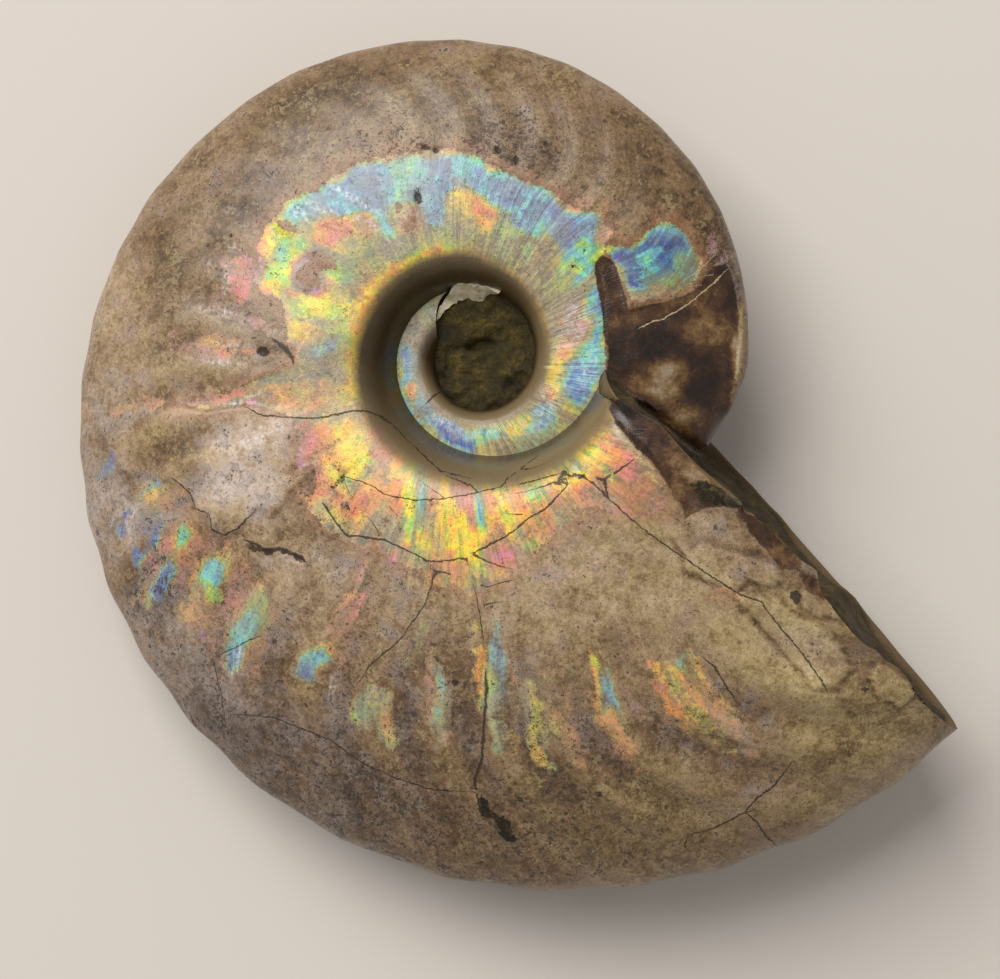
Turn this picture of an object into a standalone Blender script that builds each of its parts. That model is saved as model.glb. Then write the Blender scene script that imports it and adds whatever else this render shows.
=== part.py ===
"""An ammonite: a coiled fossil shell with its stone filling, lying on its flank.

One closed solid in metres, +Z up. X and Y run along the surface that it lies on, and the
origin is under the middle of its box. Sizes below are in millimetres and angles in degrees.
Along the coil, an angle grows with the shell. Across a whorl, "span" runs from 0 at the seam
in the hollow middle of the coil to 1 at the back, the outer edge.
"""

import math

import bmesh
import bpy
from mathutils import Matrix, Vector

MM = 0.001
TURN = 2 * math.pi

# The back: the outer edge of the last whorl, anticlockwise from +X
BACK_RADIUS = 28.4
BACK_GROWTH = 2.375
BACK_SWELL_X = 0.039
BACK_SWELL_Y = -0.008

# The seam: where each whorl meets the one inside it
SEAM_RADIUS = 5.9
SEAM_GROWTH = 2.15
SEAM_SWELL_X = 0.18
SEAM_SWELL_Y = 0.16

# The section of a whorl: half as thick as this share of the back's radius, thickest at SHOULDER
HALF_THICKNESS = 0.235
SHOULDER = 0.17
WALL_STEEPNESS = 4.5
FLANK_BEND = 1.7
FLANK_FULLNESS = 1.8

# The broken end: a straight break across the last whorl, seen from above, leaning a little back
END_ANGLE = 358.5
BREAK_HEADING = -46.5
BREAK_LEAN = 5.5
BREAK_REACH = 85.0

# Ribs: broad folds that start half way out, sweep back, then forward, and fade at the back.
# They are faint on the first half of the last whorl, rise over one angle and sink over another.
RIBS_PER_TURN = 36
RIB_HEIGHT = 0.0085
RIB_START = 0.38
RIB_FULL = 0.75
RIB_FADE = 0.85
RIB_LEFT_AT_BACK = 0.3
RIB_SWEEP = 9.0
RIB_BACK_SHARE = 0.45
RIB_FAINT = 0.3
RIB_RISES = (150.0, 215.0)
RIB_SINKS = (318.0, 352.0)

# The dark stone that fills the middle, and buries the innermost turn up to an angle
BURIED_FROM = -258.0
BURIED_TO = -218.0
FILL_CENTRE = (1.9, 1.7)
FILL_INSET = 0.85
FILL_HEIGHT = 2.0
FILL_DOME = 0.3

# The worn spots that it rests on
WEAR_DEPTH = 0.15

# How finely the surface is divided
ROWS_PER_RIB = 4
INNER_COLUMNS = 4
OUTER_COLUMNS = 7

ROWS_PER_TURN = RIBS_PER_TURN * ROWS_PER_RIB
COLUMNS = INNER_COLUMNS + OUTER_COLUMNS
LAST_ROW = 2 * ROWS_PER_TURN

SHELL_COLOUR = (0.30, 0.25, 0.17, 1.0)
SHELL_ROUGHNESS = 0.3


def smooth(low, high, x):
    """0 below low, 1 above high, and a smooth rise between."""
    t = min(max((x - low) / (high - low), 0.0), 1.0)
    return t * t * (3 - 2 * t)


def coil(radius, growth, swell_x, swell_y, angle):
    """Radius of a coil that grows by the same factor each turn and swells to one side."""
    growth_rate = math.log(growth) / TURN
    return radius * math.exp(growth_rate * angle + swell_x * math.cos(angle) + swell_y * math.sin(angle))


def seam_radius(angle):
    return coil(SEAM_RADIUS, SEAM_GROWTH, SEAM_SWELL_X, SEAM_SWELL_Y, angle)


LAST_ANGLE = math.radians(END_ANGLE)
START_ANGLE = LAST_ANGLE - TURN
COVER = (seam_radius(LAST_ANGLE) - seam_radius(START_ANGLE)) / (
    coil(BACK_RADIUS, BACK_GROWTH, BACK_SWELL_X, BACK_SWELL_Y, START_ANGLE) - seam_radius(START_ANGLE)
)


def back_radius(angle):
    """The back's radius; inside the last turn it follows from the seam that covers it."""
    if angle >= START_ANGLE:
        return coil(BACK_RADIUS, BACK_GROWTH, BACK_SWELL_X, BACK_SWELL_Y, angle)
    inner = seam_radius(angle)
    return inner + (seam_radius(angle + TURN) - inner) / COVER


def flank(span):
    """Height of the flank outside the shoulder, as a share of the half thickness."""
    q = max((span - SHOULDER) / (1 - SHOULDER), 0.0)
    return max(1 - q**FLANK_BEND, 0.0) ** (1 / FLANK_FULLNESS)


def section(span):
    """Height of the whole section: the wall of the hollow, the shoulder and the flank."""
    seam_height = flank(COVER) / BACK_GROWTH
    wall = max((SHOULDER - span) / SHOULDER, 0.0) ** WALL_STEEPNESS
    return flank(span) - (1 - seam_height) * wall


def sweep(span):
    """How far a rib has swept forward, as an angle: back at mid flank, forward at the back."""
    t = smooth(COVER, 1.0, span)
    return math.radians(RIB_SWEEP) * (t * t - RIB_BACK_SHARE * math.sin(math.pi * t))


def rib(angle, span):
    """Height of the ribs at a place, as a share of the back's radius."""
    wave = math.cos(RIBS_PER_TURN * (angle - sweep(span)))
    fade = 1 - (1 - RIB_LEFT_AT_BACK) * smooth(RIB_FADE, 1.0, span)
    rise = smooth(math.radians(RIB_RISES[0]), math.radians(RIB_RISES[1]), angle)
    sink = smooth(math.radians(RIB_SINKS[0]), math.radians(RIB_SINKS[1]), angle)
    strength = RIB_FAINT + (1 - RIB_FAINT) * rise * (1 - 0.6 * sink)
    return RIB_HEIGHT * smooth(RIB_START, RIB_FULL, span) * fade * strength * wave


def surface(angle, span, side):
    """A point of the shell in its own frame: the coil's axis is Z and side is 1 above, -1 below."""
    inner, outer = seam_radius(angle), back_radius(angle)
    thickness = HALF_THICKNESS * coil(BACK_RADIUS, BACK_GROWTH, 0.0, 0.0, angle)
    raised = rib(angle, span) * outer
    outward = span**6
    radius = inner + span * (outer - inner) + raised * outward
    height = thickness * section(span) + raised * (1 - outward) * section(span)
    return Vector((radius * math.cos(angle), radius * math.sin(angle), side * height))


def break_plane():
    """A point on the break, at the upper seam, and the break's outward normal."""
    heading = math.radians(BREAK_HEADING)
    lean = math.radians(BREAK_LEAN)
    across = Vector((-math.sin(heading), math.cos(heading), 0.0))
    return surface(LAST_ANGLE, 0.0, 1), across * math.cos(lean) + Vector((0, 0, math.sin(lean)))


def break_shift(angle, span, side):
    """The turn that brings the point at this angle and span onto the break, by halving."""
    point, normal = break_plane()
    low, high = -math.radians(BREAK_REACH), math.radians(BREAK_REACH) / 2
    for _ in range(40):
        middle = (low + high) / 2
        if (surface(angle + middle, span, side) - point).dot(normal) > 0:
            high = middle
        else:
            low = middle
    return (low + high) / 2


def column_span(column):
    """Span of a column, counted from the seam: close together at the seam and at the back."""
    if column <= INNER_COLUMNS:
        return COVER * (column / INNER_COLUMNS) ** 1.7
    t = (column - INNER_COLUMNS) / OUTER_COLUMNS
    return COVER + (1 - COVER) * math.sin(t * math.pi / 2)


def row_bends():
    """For each column and side, the turns that lay the last row and the row under it on the break."""
    bends = {}
    for column in range(COLUMNS + 1):
        span = column_span(column)
        for side in (1, -1):
            last = break_shift(LAST_ANGLE, span, side)
            under = break_shift(START_ANGLE, max(span, COVER), side) * min(span / COVER, 1.0)
            bends[column, side] = (last, under)
    return bends


def fill_edge(angle):
    """Span at which the stone filling ends: it buries the innermost turn up to a certain angle."""
    return COVER * (1 - smooth(math.radians(BURIED_FROM), math.radians(BURIED_TO), angle))


def grid_point(row, column, side, bends):
    """The surface point of a grid place: rows follow the ribs and bend into the break."""
    angle = LAST_ANGLE + (row - LAST_ROW) / ROWS_PER_TURN * TURN
    span = column_span(column)
    if row < LAST_ROW - ROWS_PER_TURN and column <= INNER_COLUMNS:
        edge = fill_edge(angle)
        span = edge + (COVER - edge) * span / COVER
    reach = math.radians(BREAK_REACH)
    near_last = 1 - smooth(0.0, reach, LAST_ANGLE - angle)
    near_under = 1 - smooth(0.0, reach, abs(START_ANGLE - angle))
    last, under = bends[column, side]
    free = sweep(span) * (1 - near_last) * (1 - near_under)
    return surface(angle + free + last * near_last + under * near_under, span, side)


def shape_whorls(bm):
    """Two turns of whorls from one grid; only what shows of the inner turn is kept."""
    bmesh.ops.create_grid(bm, x_segments=LAST_ROW, y_segments=2 * COLUMNS, size=1.0)
    bends = row_bends()
    hidden = set()
    for vert in bm.verts:
        row = round((vert.co.x + 1) / 2 * LAST_ROW)
        across = round(vert.co.y * COLUMNS)
        column = COLUMNS - abs(across)
        side = 1 if across >= 0 else -1
        vert.co = grid_point(row, column, side, bends)
        if row < LAST_ROW - ROWS_PER_TURN and column > INNER_COLUMNS:
            hidden.add(vert)
    bmesh.ops.delete(bm, geom=list(hidden), context="VERTS")
    bmesh.ops.remove_doubles(bm, verts=bm.verts, dist=0.0005)


def open_loops(bm):
    """The open edges, as a list of separate loops."""
    left = {edge for edge in bm.edges if edge.is_boundary}
    loops = []
    while left:
        loop, waiting = [], [left.pop()]
        while waiting:
            edge = waiting.pop()
            loop.append(edge)
            joined = {e for vert in edge.verts for e in vert.link_edges if e in left}
            left -= joined
            waiting.extend(joined)
        loops.append(loop)
    return loops


def close_break(bm):
    """One flat face over the broken end, the longest of the open loops by reach."""
    def reach(loop):
        return max(vert.co.xy.length for edge in loop for vert in edge.verts)

    loop = max(open_loops(bm), key=reach)
    bmesh.ops.holes_fill(bm, edges=loop, sides=0)


def close_hollows(bm):
    """The stone filling: a rim set in from the innermost whorl, and a low dome inside it."""
    middle = Vector(FILL_CENTRE)
    for loop in open_loops(bm):
        side = 1 if loop[0].verts[0].co.z > 0 else -1
        rim = bmesh.ops.extrude_edge_only(bm, edges=loop)["geom"]
        rim_verts = [item for item in rim if isinstance(item, bmesh.types.BMVert)]
        rim_edges = [item for item in rim if isinstance(item, bmesh.types.BMEdge)]
        for vert in rim_verts:
            flat = middle + (vert.co.xy - middle) * FILL_INSET
            vert.co = Vector((flat.x, flat.y, side * FILL_HEIGHT))
        filled = bmesh.ops.holes_fill(bm, edges=rim_edges, sides=0)["faces"]
        centre = bmesh.ops.poke(bm, faces=filled)["verts"]
        for vert in centre:
            vert.co.z += side * FILL_DOME


def lie_down(bm):
    """Turn the shell so that the hull face under its weight lies flat, with its lowest point at 0."""
    hull = bm.copy()
    result = bmesh.ops.convex_hull(hull, input=hull.verts)
    faces = [item for item in result["geom"] if isinstance(item, bmesh.types.BMFace)]
    weight = Vector((0, 0, 0))
    area = 0.0
    for face in bm.faces:
        share = face.calc_area()
        weight += face.calc_center_median() * share
        area += share
    weight /= area
    under = min(
        (face for face in faces if face.normal.z < -0.9),
        key=lambda face: overhang(face, weight),
    )
    turn = under.normal.rotation_difference(Vector((0, 0, -1))).to_matrix()
    hull.free()
    bmesh.ops.rotate(bm, verts=bm.verts, cent=(0, 0, 0), matrix=turn)
    bmesh.ops.translate(bm, verts=bm.verts, vec=(0, 0, -min(vert.co.z for vert in bm.verts)))


def overhang(face, point):
    """How far the foot of a point on the face's plane lies outside the face; negative inside."""
    foot = point - face.normal * (point - face.verts[0].co).dot(face.normal)
    worst = -1e9
    for loop in face.loops:
        start, end = loop.vert.co, loop.link_loop_next.vert.co
        outward = (end - start).cross(face.normal).normalized()
        worst = max(worst, (foot - start).dot(outward))
    return worst


def wear_flats(bm):
    """Cut the lowest spots off flat, and bring the cut to height 0 and the box's middle to the origin."""
    cut = bmesh.ops.bisect_plane(
        bm, geom=bm.verts[:] + bm.edges[:] + bm.faces[:], dist=0.001,
        plane_co=(0, 0, WEAR_DEPTH), plane_no=(0, 0, -1), clear_outer=True,
    )
    rims = [item for item in cut["geom_cut"] if isinstance(item, bmesh.types.BMEdge)]
    bmesh.ops.holes_fill(bm, edges=rims, sides=0)
    xs = [vert.co.x for vert in bm.verts]
    ys = [vert.co.y for vert in bm.verts]
    middle = Vector(((min(xs) + max(xs)) / 2, (min(ys) + max(ys)) / 2, WEAR_DEPTH))
    bmesh.ops.translate(bm, verts=bm.verts, vec=-middle)


def shell_material():
    """Polished fossil shell."""
    material = bpy.data.materials.new("polished fossil shell")
    material.use_nodes = True
    shader = material.node_tree.nodes["Principled BSDF"]
    shader.inputs["Base Color"].default_value = SHELL_COLOUR
    shader.inputs["Roughness"].default_value = SHELL_ROUGHNESS
    shader.inputs["Metallic"].default_value = 0.0
    return material


def build_ammonite():
    bm = bmesh.new()
    shape_whorls(bm)
    close_break(bm)
    close_hollows(bm)
    bmesh.ops.recalc_face_normals(bm, faces=bm.faces)
    lie_down(bm)
    wear_flats(bm)
    bmesh.ops.recalc_face_normals(bm, faces=bm.faces)
    bmesh.ops.scale(bm, verts=bm.verts, vec=(MM, MM, MM))
    mesh = bpy.data.meshes.new("ammonite")
    bm.to_mesh(mesh)
    bm.free()
    mesh.shade_smooth()
    mesh.set_sharp_from_angle(angle=math.radians(40))
    mesh.materials.append(shell_material())
    bpy.context.scene.collection.objects.link(bpy.data.objects.new("ammonite", mesh))


for old in list(bpy.data.objects):
    bpy.data.objects.remove(old, do_unlink=True)
build_ammonite()
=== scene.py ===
"""The looks of the ammonite: its fine surface, its colours, and a plain table, light and camera.

The shell is one closed mesh on the same formulas as the solid that it stands for. Sizes are in
millimetres until the mesh is made. Places on the upper flank are given as pixels of a picture
1000 wide and 979 high, and are laid on the shell by the camera's own geometry.
"""

import math

import bmesh
import bpy
import mathutils
import numpy as np
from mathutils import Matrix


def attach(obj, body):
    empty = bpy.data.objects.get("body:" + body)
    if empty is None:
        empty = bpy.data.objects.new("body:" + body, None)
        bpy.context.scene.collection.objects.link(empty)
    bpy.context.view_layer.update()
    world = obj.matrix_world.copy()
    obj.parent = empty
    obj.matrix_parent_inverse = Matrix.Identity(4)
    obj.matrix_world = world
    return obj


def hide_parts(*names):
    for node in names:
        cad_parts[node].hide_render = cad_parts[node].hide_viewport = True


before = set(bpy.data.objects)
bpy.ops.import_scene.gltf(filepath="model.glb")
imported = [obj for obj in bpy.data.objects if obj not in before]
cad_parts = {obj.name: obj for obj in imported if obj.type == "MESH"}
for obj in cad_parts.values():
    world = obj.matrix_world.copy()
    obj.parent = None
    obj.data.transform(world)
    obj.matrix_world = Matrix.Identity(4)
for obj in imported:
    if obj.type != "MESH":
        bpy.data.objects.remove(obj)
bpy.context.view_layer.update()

MM = 0.001
TURN = 2 * math.pi

# The coil, as in the solid. Radii are in millimetres where the last turn starts, heights of the
# section and the ribs are shares of the back's radius, and a span is 0 at the seam and 1 at the back.
BACK_RADIUS = 28.4
BACK_GROWTH = 2.375
BACK_SWELL = (0.039, -0.008)
SEAM_RADIUS = 5.9
SEAM_GROWTH = 2.15
SEAM_SWELL = (0.18, 0.16)
HALF_THICKNESS = 0.235
SHOULDER = 0.17
WALL_STEEPNESS = 4.5
FLANK_BEND = 1.7
FLANK_FULLNESS = 1.8
END_ANGLE = math.radians(358.5)
START_ANGLE = END_ANGLE - TURN
BREAK_HEADING = math.radians(-46.5)
BREAK_LEAN = math.radians(5.5)
BREAK_REACH = math.radians(85.0)
RIBS_PER_TURN = 36
RIB_HEIGHT = 0.0105
RIB_START = 0.38
RIB_FULL = 0.75
RIB_FADE = 0.85
RIB_LEFT_AT_BACK = 0.3
RIB_SWEEP = math.radians(9.0)
RIB_BACK_SHARE = 0.45
RIB_FAINT = 0.3
# Near the break the ribs sink by this share; towards the back they stand outward, by this power
RIB_SINK_SHARE = 0.6
RIB_TURNS_OUT = 6
# The headings between which the ribs rise, and between which they sink again
RIB_RISES = (math.radians(150), math.radians(215))
RIB_SINKS = (math.radians(318), math.radians(352))
# The ribs aren't quite even: at these headings they lag by this much of their own wave, in degrees
RIB_LAG_AT = np.radians((205, 230, 256, 272, 295))
RIB_LAG = np.radians((85, 85, 290, 334, 262))
BURIED_FROM = math.radians(-258)
BURIED_TO = math.radians(-218)
FILL_CENTRE = (1.9, 1.7)
FILL_HEIGHT = 2.0
FILL_REACH = 8.6
HOLLOW_FLOOR = 0.8

# How it lies: the coil's axis leans this far, towards this heading, and is moved here
LEAN = math.radians(7.0083)
LEAN_HEADING = math.radians(-176.519)
LIE_AT = np.array([-4.417, 10.295, 12.739])

# How finely the surface is divided
ROWS = 540
SEAM_COLUMNS = 12
UPPER_COLUMNS = 84
LOWER_COLUMNS = 42
BREAK_ROWS = 54
LAST_ROW = 2 * ROWS
GRID_ROWS = LAST_ROW + BREAK_ROWS
GRID_COLUMNS = UPPER_COLUMNS + LOWER_COLUMNS
# Halvings when the break is searched for, and how the rows and columns crowd together
HALVINGS = 40
SEAM_CROWDING = 1.7
BREAK_CROWDING = 1.2
ACROSS_EVEN = 0.45
ACROSS_CROWDED = 0.55

# The camera looks straight down; a pixel is this many millimetres at the height of the flank
PIXELS_PER_MM = 9.4
CAMERA_DISTANCE = 330.0
CAMERA_HEIGHT_REF = 14.0
PICTURE = (1000, 979)
ORIGIN_PIXEL = (510.7, 464.6)


def smooth(low, high, x):
    """0 below low, 1 above high, and a smooth rise between."""
    t = np.clip((x - low) / (high - low), 0.0, 1.0)
    return t * t * (3 - 2 * t)


# Noise by its name: the size of its lumps in millimetres, its seed, and its layers, each finer by half
NOISES = {
    "broad": (15.0, 10, 3), "fine": (5.0, 12, 3), "spotty": (11.0, 16, 3), "ruddy": (19.0, 18, 3),
    "wander": (2.6, 22, 3), "fret": (1.1, 23, 2), "swell": (9.0, 24, 3), "ripple": (3.0, 26, 3),
    "break": (5.0, 28, 2), "crumbs": (2.4, 30, 1), "pebble": (2.8, 38, 3), "grit": (0.9, 40, 3),
    "slit": (1.0, 42, 3), "tear": (1.0, 44, 3), "flake": (1.0, 46, 3), "edge": (2.2, 48, 3),
    "bend_x": (4.0, 58, 3), "bend_y": (4.0, 59, 3),
}
NOISE_GAIN = 1.6
LAYER_SHIFT = 31.7
# Large odd numbers that scramble a cell's place, the seed, and then, shifted by so many bits, the mix
CELL_FACTORS = (73856093, 19349663, 83492791)
SEED_FACTOR = 2654435761
MIX_FACTORS = {13: 1274126177, 16: 2246822519}
LOW_BITS = 0xFFFFFFFF
KEPT_BITS = 0xFFFFF


def lattice(cells, seed):
    """A fixed scrambled value from 0 to 1 for each whole-number cell."""
    key = seed * SEED_FACTOR
    for axis, factor in enumerate(CELL_FACTORS):
        key = key ^ cells[..., axis] * factor
    for shift, factor in MIX_FACTORS.items():
        key = (key ^ (key >> shift)) * factor & LOW_BITS
    return (key & KEPT_BITS) / KEPT_BITS


def noise(name, points):
    """Soft noise from about -1 to 1 at each point."""
    size, seed, octaves = NOISES[name]
    mixed, weight, norm = 0.0, 1.0, 0.0
    for octave in range(octaves):
        at = points / size * 2**octave + LAYER_SHIFT * octave
        cell = np.floor(at).astype(np.int64)
        part = at - cell
        part = part * part * (3 - 2 * part)
        value = 0.0
        for corner in range(8):
            step = np.array([corner & 1, corner >> 1 & 1, corner >> 2 & 1])
            share = np.where(step == 1, part, 1 - part).prod(axis=-1)
            value = value + share * lattice(cell + step, seed + octave)
        mixed = mixed + weight * (value * 2 - 1)
        norm += weight
        weight *= 0.5
    return mixed / norm * NOISE_GAIN


# Shape of the coil

def coil(radius, growth, swell, angle):
    """Radius of a coil that grows by the same factor each turn and swells to one side."""
    rate = math.log(growth) / TURN
    return radius * np.exp(rate * angle + swell[0] * np.cos(angle) + swell[1] * np.sin(angle))


def seam_radius(angle):
    """Radius of the edge of the hollow, where a whorl lies on the one before."""
    return coil(SEAM_RADIUS, SEAM_GROWTH, SEAM_SWELL, angle)


COVER = float(
    (seam_radius(END_ANGLE) - seam_radius(START_ANGLE))
    / (coil(BACK_RADIUS, BACK_GROWTH, BACK_SWELL, START_ANGLE) - seam_radius(START_ANGLE))
)


def back_radius(angle):
    """The back's radius; inside the last turn it follows from the seam that covers it."""
    inner = seam_radius(angle)
    covered = inner + (seam_radius(angle + TURN) - inner) / COVER
    return np.where(angle >= START_ANGLE, coil(BACK_RADIUS, BACK_GROWTH, BACK_SWELL, angle), covered)


def flank(span):
    """Height of the flank as a share of the half thickness; span is 0 at the seam, 1 at the back."""
    q = np.clip((span - SHOULDER) / (1 - SHOULDER), 0.0, 1.0)
    return (1 - q**FLANK_BEND) ** (1 / FLANK_FULLNESS)


def section(span):
    """Height of a whorl's section: the wall of the hollow, the shoulder and the flank."""
    seam_height = flank(COVER) / BACK_GROWTH
    wall = np.clip((SHOULDER - span) / SHOULDER, 0.0, 1.0) ** WALL_STEEPNESS
    return flank(span) - (1 - seam_height) * wall


def sweep(span):
    """How far a rib has swept forward, as an angle."""
    t = smooth(COVER, 1.0, span)
    return RIB_SWEEP * (t * t - RIB_BACK_SHARE * np.sin(math.pi * t))


def rib(angle, span):
    """Height of the ribs at a place, as a share of the back's radius."""
    root = angle - sweep(span)
    wave = np.cos(RIBS_PER_TURN * root - np.interp(root, RIB_LAG_AT, RIB_LAG))
    fade = 1 - (1 - RIB_LEFT_AT_BACK) * smooth(RIB_FADE, 1.0, span)
    strong = smooth(*RIB_RISES, angle) * (1 - RIB_SINK_SHARE * smooth(*RIB_SINKS, angle))
    strength = RIB_FAINT + (1 - RIB_FAINT) * strong
    return RIB_HEIGHT * smooth(RIB_START, RIB_FULL, span) * fade * strength * wave


def surface(angle, span, side):
    """Points of the shell in its own frame: the coil's axis is Z and side is 1 above, -1 below."""
    inner, outer = seam_radius(angle), back_radius(angle)
    thickness = HALF_THICKNESS * coil(BACK_RADIUS, BACK_GROWTH, (0.0, 0.0), angle)
    raised = rib(angle, span) * outer
    turned_out = span**RIB_TURNS_OUT
    radius = inner + span * (outer - inner) + raised * turned_out
    height = thickness * section(span) + raised * (1 - turned_out) * section(span)
    return np.stack([radius * np.cos(angle), radius * np.sin(angle), side * height], axis=-1)


BREAK_NORMAL = np.array([
    -math.sin(BREAK_HEADING) * math.cos(BREAK_LEAN),
    math.cos(BREAK_HEADING) * math.cos(BREAK_LEAN),
    math.sin(BREAK_LEAN),
])
BREAK_POINT = surface(np.array(END_ANGLE), np.array(0.0), 1.0)


def break_shift(angle, span, side):
    """The turn that brings points at this angle and span onto the break, by halving."""
    low = np.full(span.shape, -BREAK_REACH)
    high = np.full(span.shape, BREAK_REACH / 2)
    for _ in range(HALVINGS):
        middle = (low + high) / 2
        past = (surface(angle + middle, span, side) - BREAK_POINT) @ BREAK_NORMAL > 0
        high = np.where(past, middle, high)
        low = np.where(past, low, middle)
    return (low + high) / 2


def row_angles():
    """Row angles over two turns and on; rows lie closer where the shell is larger."""
    rate = math.log(BACK_GROWTH) / TURN
    steps = np.arange(LAST_ROW + 1) - LAST_ROW
    turns = np.floor(steps / ROWS)
    share = (steps - turns * ROWS) / ROWS
    within = np.log(1 + share * (BACK_GROWTH - 1)) / rate
    return END_ANGLE + turns * TURN + within


def column_spans():
    """Spans and sides across a whorl: from the upper seam over the back to the lower seam."""
    def half(count, seam_count):
        seam = COVER * (np.arange(seam_count) / seam_count) ** SEAM_CROWDING
        t = np.arange(count - seam_count + 1) / (count - seam_count)
        even = ACROSS_EVEN * t + ACROSS_CROWDED * np.sin(t * math.pi / 2)
        return np.concatenate([seam, COVER + (1 - COVER) * even])
    upper, lower = half(UPPER_COLUMNS, SEAM_COLUMNS), half(LOWER_COLUMNS, SEAM_COLUMNS)
    spans = np.concatenate([upper, lower[-2::-1]])
    sides = np.concatenate([np.ones(len(upper)), -np.ones(len(lower) - 1)])
    return spans, sides


def lay_down(points):
    """From the coil's own frame to where the fossil lies."""
    toward = np.array([math.cos(LEAN_HEADING), math.sin(LEAN_HEADING), 0.0])
    axis = np.cross([0.0, 0.0, 1.0], toward)
    cross = np.array([[0, -axis[2], axis[1]], [axis[2], 0, -axis[0]], [-axis[1], axis[0], 0]])
    turn = np.eye(3) + math.sin(LEAN) * cross + (1 - math.cos(LEAN)) * cross @ cross
    return points @ turn.T + LIE_AT


def to_pixels(points):
    """Where the camera sees points that lie in the scene, as pixels of the picture."""
    eye = camera_place()
    scale = PIXELS_PER_MM * CAMERA_DISTANCE / (eye[2] - points[..., 2])
    return np.stack([
        PICTURE[0] / 2 + (points[..., 0] - eye[0]) * scale,
        PICTURE[1] / 2 - (points[..., 1] - eye[1]) * scale,
    ], axis=-1)


def from_pixel(x, y, level):
    """The place at this height that the camera sees at a pixel."""
    eye = camera_place()
    scale = PIXELS_PER_MM * CAMERA_DISTANCE / (eye[2] - level)
    return eye[0] + (x - PICTURE[0] / 2) / scale, eye[1] + (PICTURE[1] / 2 - y) / scale, level


def camera_place():
    """Where the camera hangs, in millimetres."""
    return (
        -(ORIGIN_PIXEL[0] - PICTURE[0] / 2) / PIXELS_PER_MM,
        (ORIGIN_PIXEL[1] - PICTURE[1] / 2) / PIXELS_PER_MM,
        CAMERA_HEIGHT_REF + CAMERA_DISTANCE,
    )


# Drawing on the shell: outlines, dabs and cracks, in pixels of the picture

# A field of distances stops at this many millimetres; a search for the nearest starts far off
FIELD_REACH = 9.0
FAR_OFF = 1e9
# How far edges wander from their outlines, in millimetres
WANDER = {
    "hue": 0.3, "tone": 0.5, "sheen": 0.6, "covered": 0.5, "moss": 0.25, "calcite": 0.3, "plate": 0.2,
    "lumps": 0.25,
}
# How far many of the dabs are bent out of their oval, in millimetres
BEND = 0.7
# How soft the edges of dabs are, as a share of their smaller half size
SOFT = {"hue": 0.12, "tone": 0.55, "painted_gleam": 0.5, "pearl_tone_and_painted_shading": 0.4, "haze": 0.5, "calcite": 0.5}


def outline_distance(pixels, outline):
    """Signed distance to a closed outline in millimetres, positive inside."""
    corners = np.array(outline, float)
    best = np.full(len(pixels), FAR_OFF)
    inside = np.zeros(len(pixels), bool)
    for a, b in zip(corners, np.roll(corners, -1, axis=0)):
        best = np.minimum(best, segment_distance(pixels, a, b)[0])
        crosses = (a[1] > pixels[:, 1]) != (b[1] > pixels[:, 1])
        rise = b[1] - a[1] if b[1] != a[1] else 1e-9
        where = a[0] + (pixels[:, 1] - a[1]) / rise * (b[0] - a[0])
        inside ^= crosses & (pixels[:, 0] < where)
    return np.where(inside, best, -best) / PIXELS_PER_MM


def segment_distance(pixels, a, b):
    """Distance to a straight piece, which side of it, and how far along, from 0 to 1."""
    run = b - a
    offset = pixels - a
    along = np.clip(offset @ run / (run @ run), 0.0, 1.0)
    gap = offset - along[:, None] * run
    side = np.sign(run[0] * offset[:, 1] - run[1] * offset[:, 0])
    return np.hypot(gap[:, 0], gap[:, 1]), side, along


def dab_distance(pixels, x, y, long, wide, turn):
    """Distance inside an oval in millimetres: its half length, half width and slope in degrees."""
    c, s = math.cos(math.radians(turn)), math.sin(math.radians(turn))
    dx, dy = pixels[:, 0] - x, pixels[:, 1] - y
    reach = np.hypot((dx * c + dy * s) / long, (dy * c - dx * s) / wide)
    return (1 - reach) * min(long, wide) / PIXELS_PER_MM


def dabs_distance(pixels, dabs, wander):
    """Distance inside the nearest of some ovals in millimetres, with a wandering edge."""
    return np.max([dab_distance(pixels, *dab) for dab in dabs], axis=0) + wander


def paint(field, distance, value, soft):
    """Lays a value into a field inside a distance, with an edge this many millimetres soft."""
    field += (value - field) * smooth(-soft, soft, distance)


def line_field(pixels, lines):
    """Signed distance to the nearest line in millimetres, and that line's half width near it."""
    best = np.full(len(pixels), FAR_OFF)
    signed = np.full(len(pixels), FIELD_REACH)
    width = np.zeros(len(pixels))
    for half_width, points in lines:
        corners = np.array(points, float)
        last = len(corners) - 2
        for index, (a, b) in enumerate(zip(corners, corners[1:])):
            far, side, along = segment_distance(pixels, a, b)
            far = far / PIXELS_PER_MM
            # A line thins towards its ends
            here = np.full(len(pixels), half_width)
            if index == 0:
                here = np.where(along <= 0, 0.0, here * np.minimum(1.0, 0.3 + along))
            if index == last:
                here = np.where(along >= 1, 0.0, here * np.minimum(1.0, 1.3 - along))
            nearer = far < best
            best = np.where(nearer, far, best)
            signed = np.where(nearer, far * side, signed)
            width = np.where(nearer, here * smooth(1.6, 1.0, far), width)
    return np.clip(signed, -FIELD_REACH, FIELD_REACH), width


# Where the mother of pearl is bared, as outlines

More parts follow.
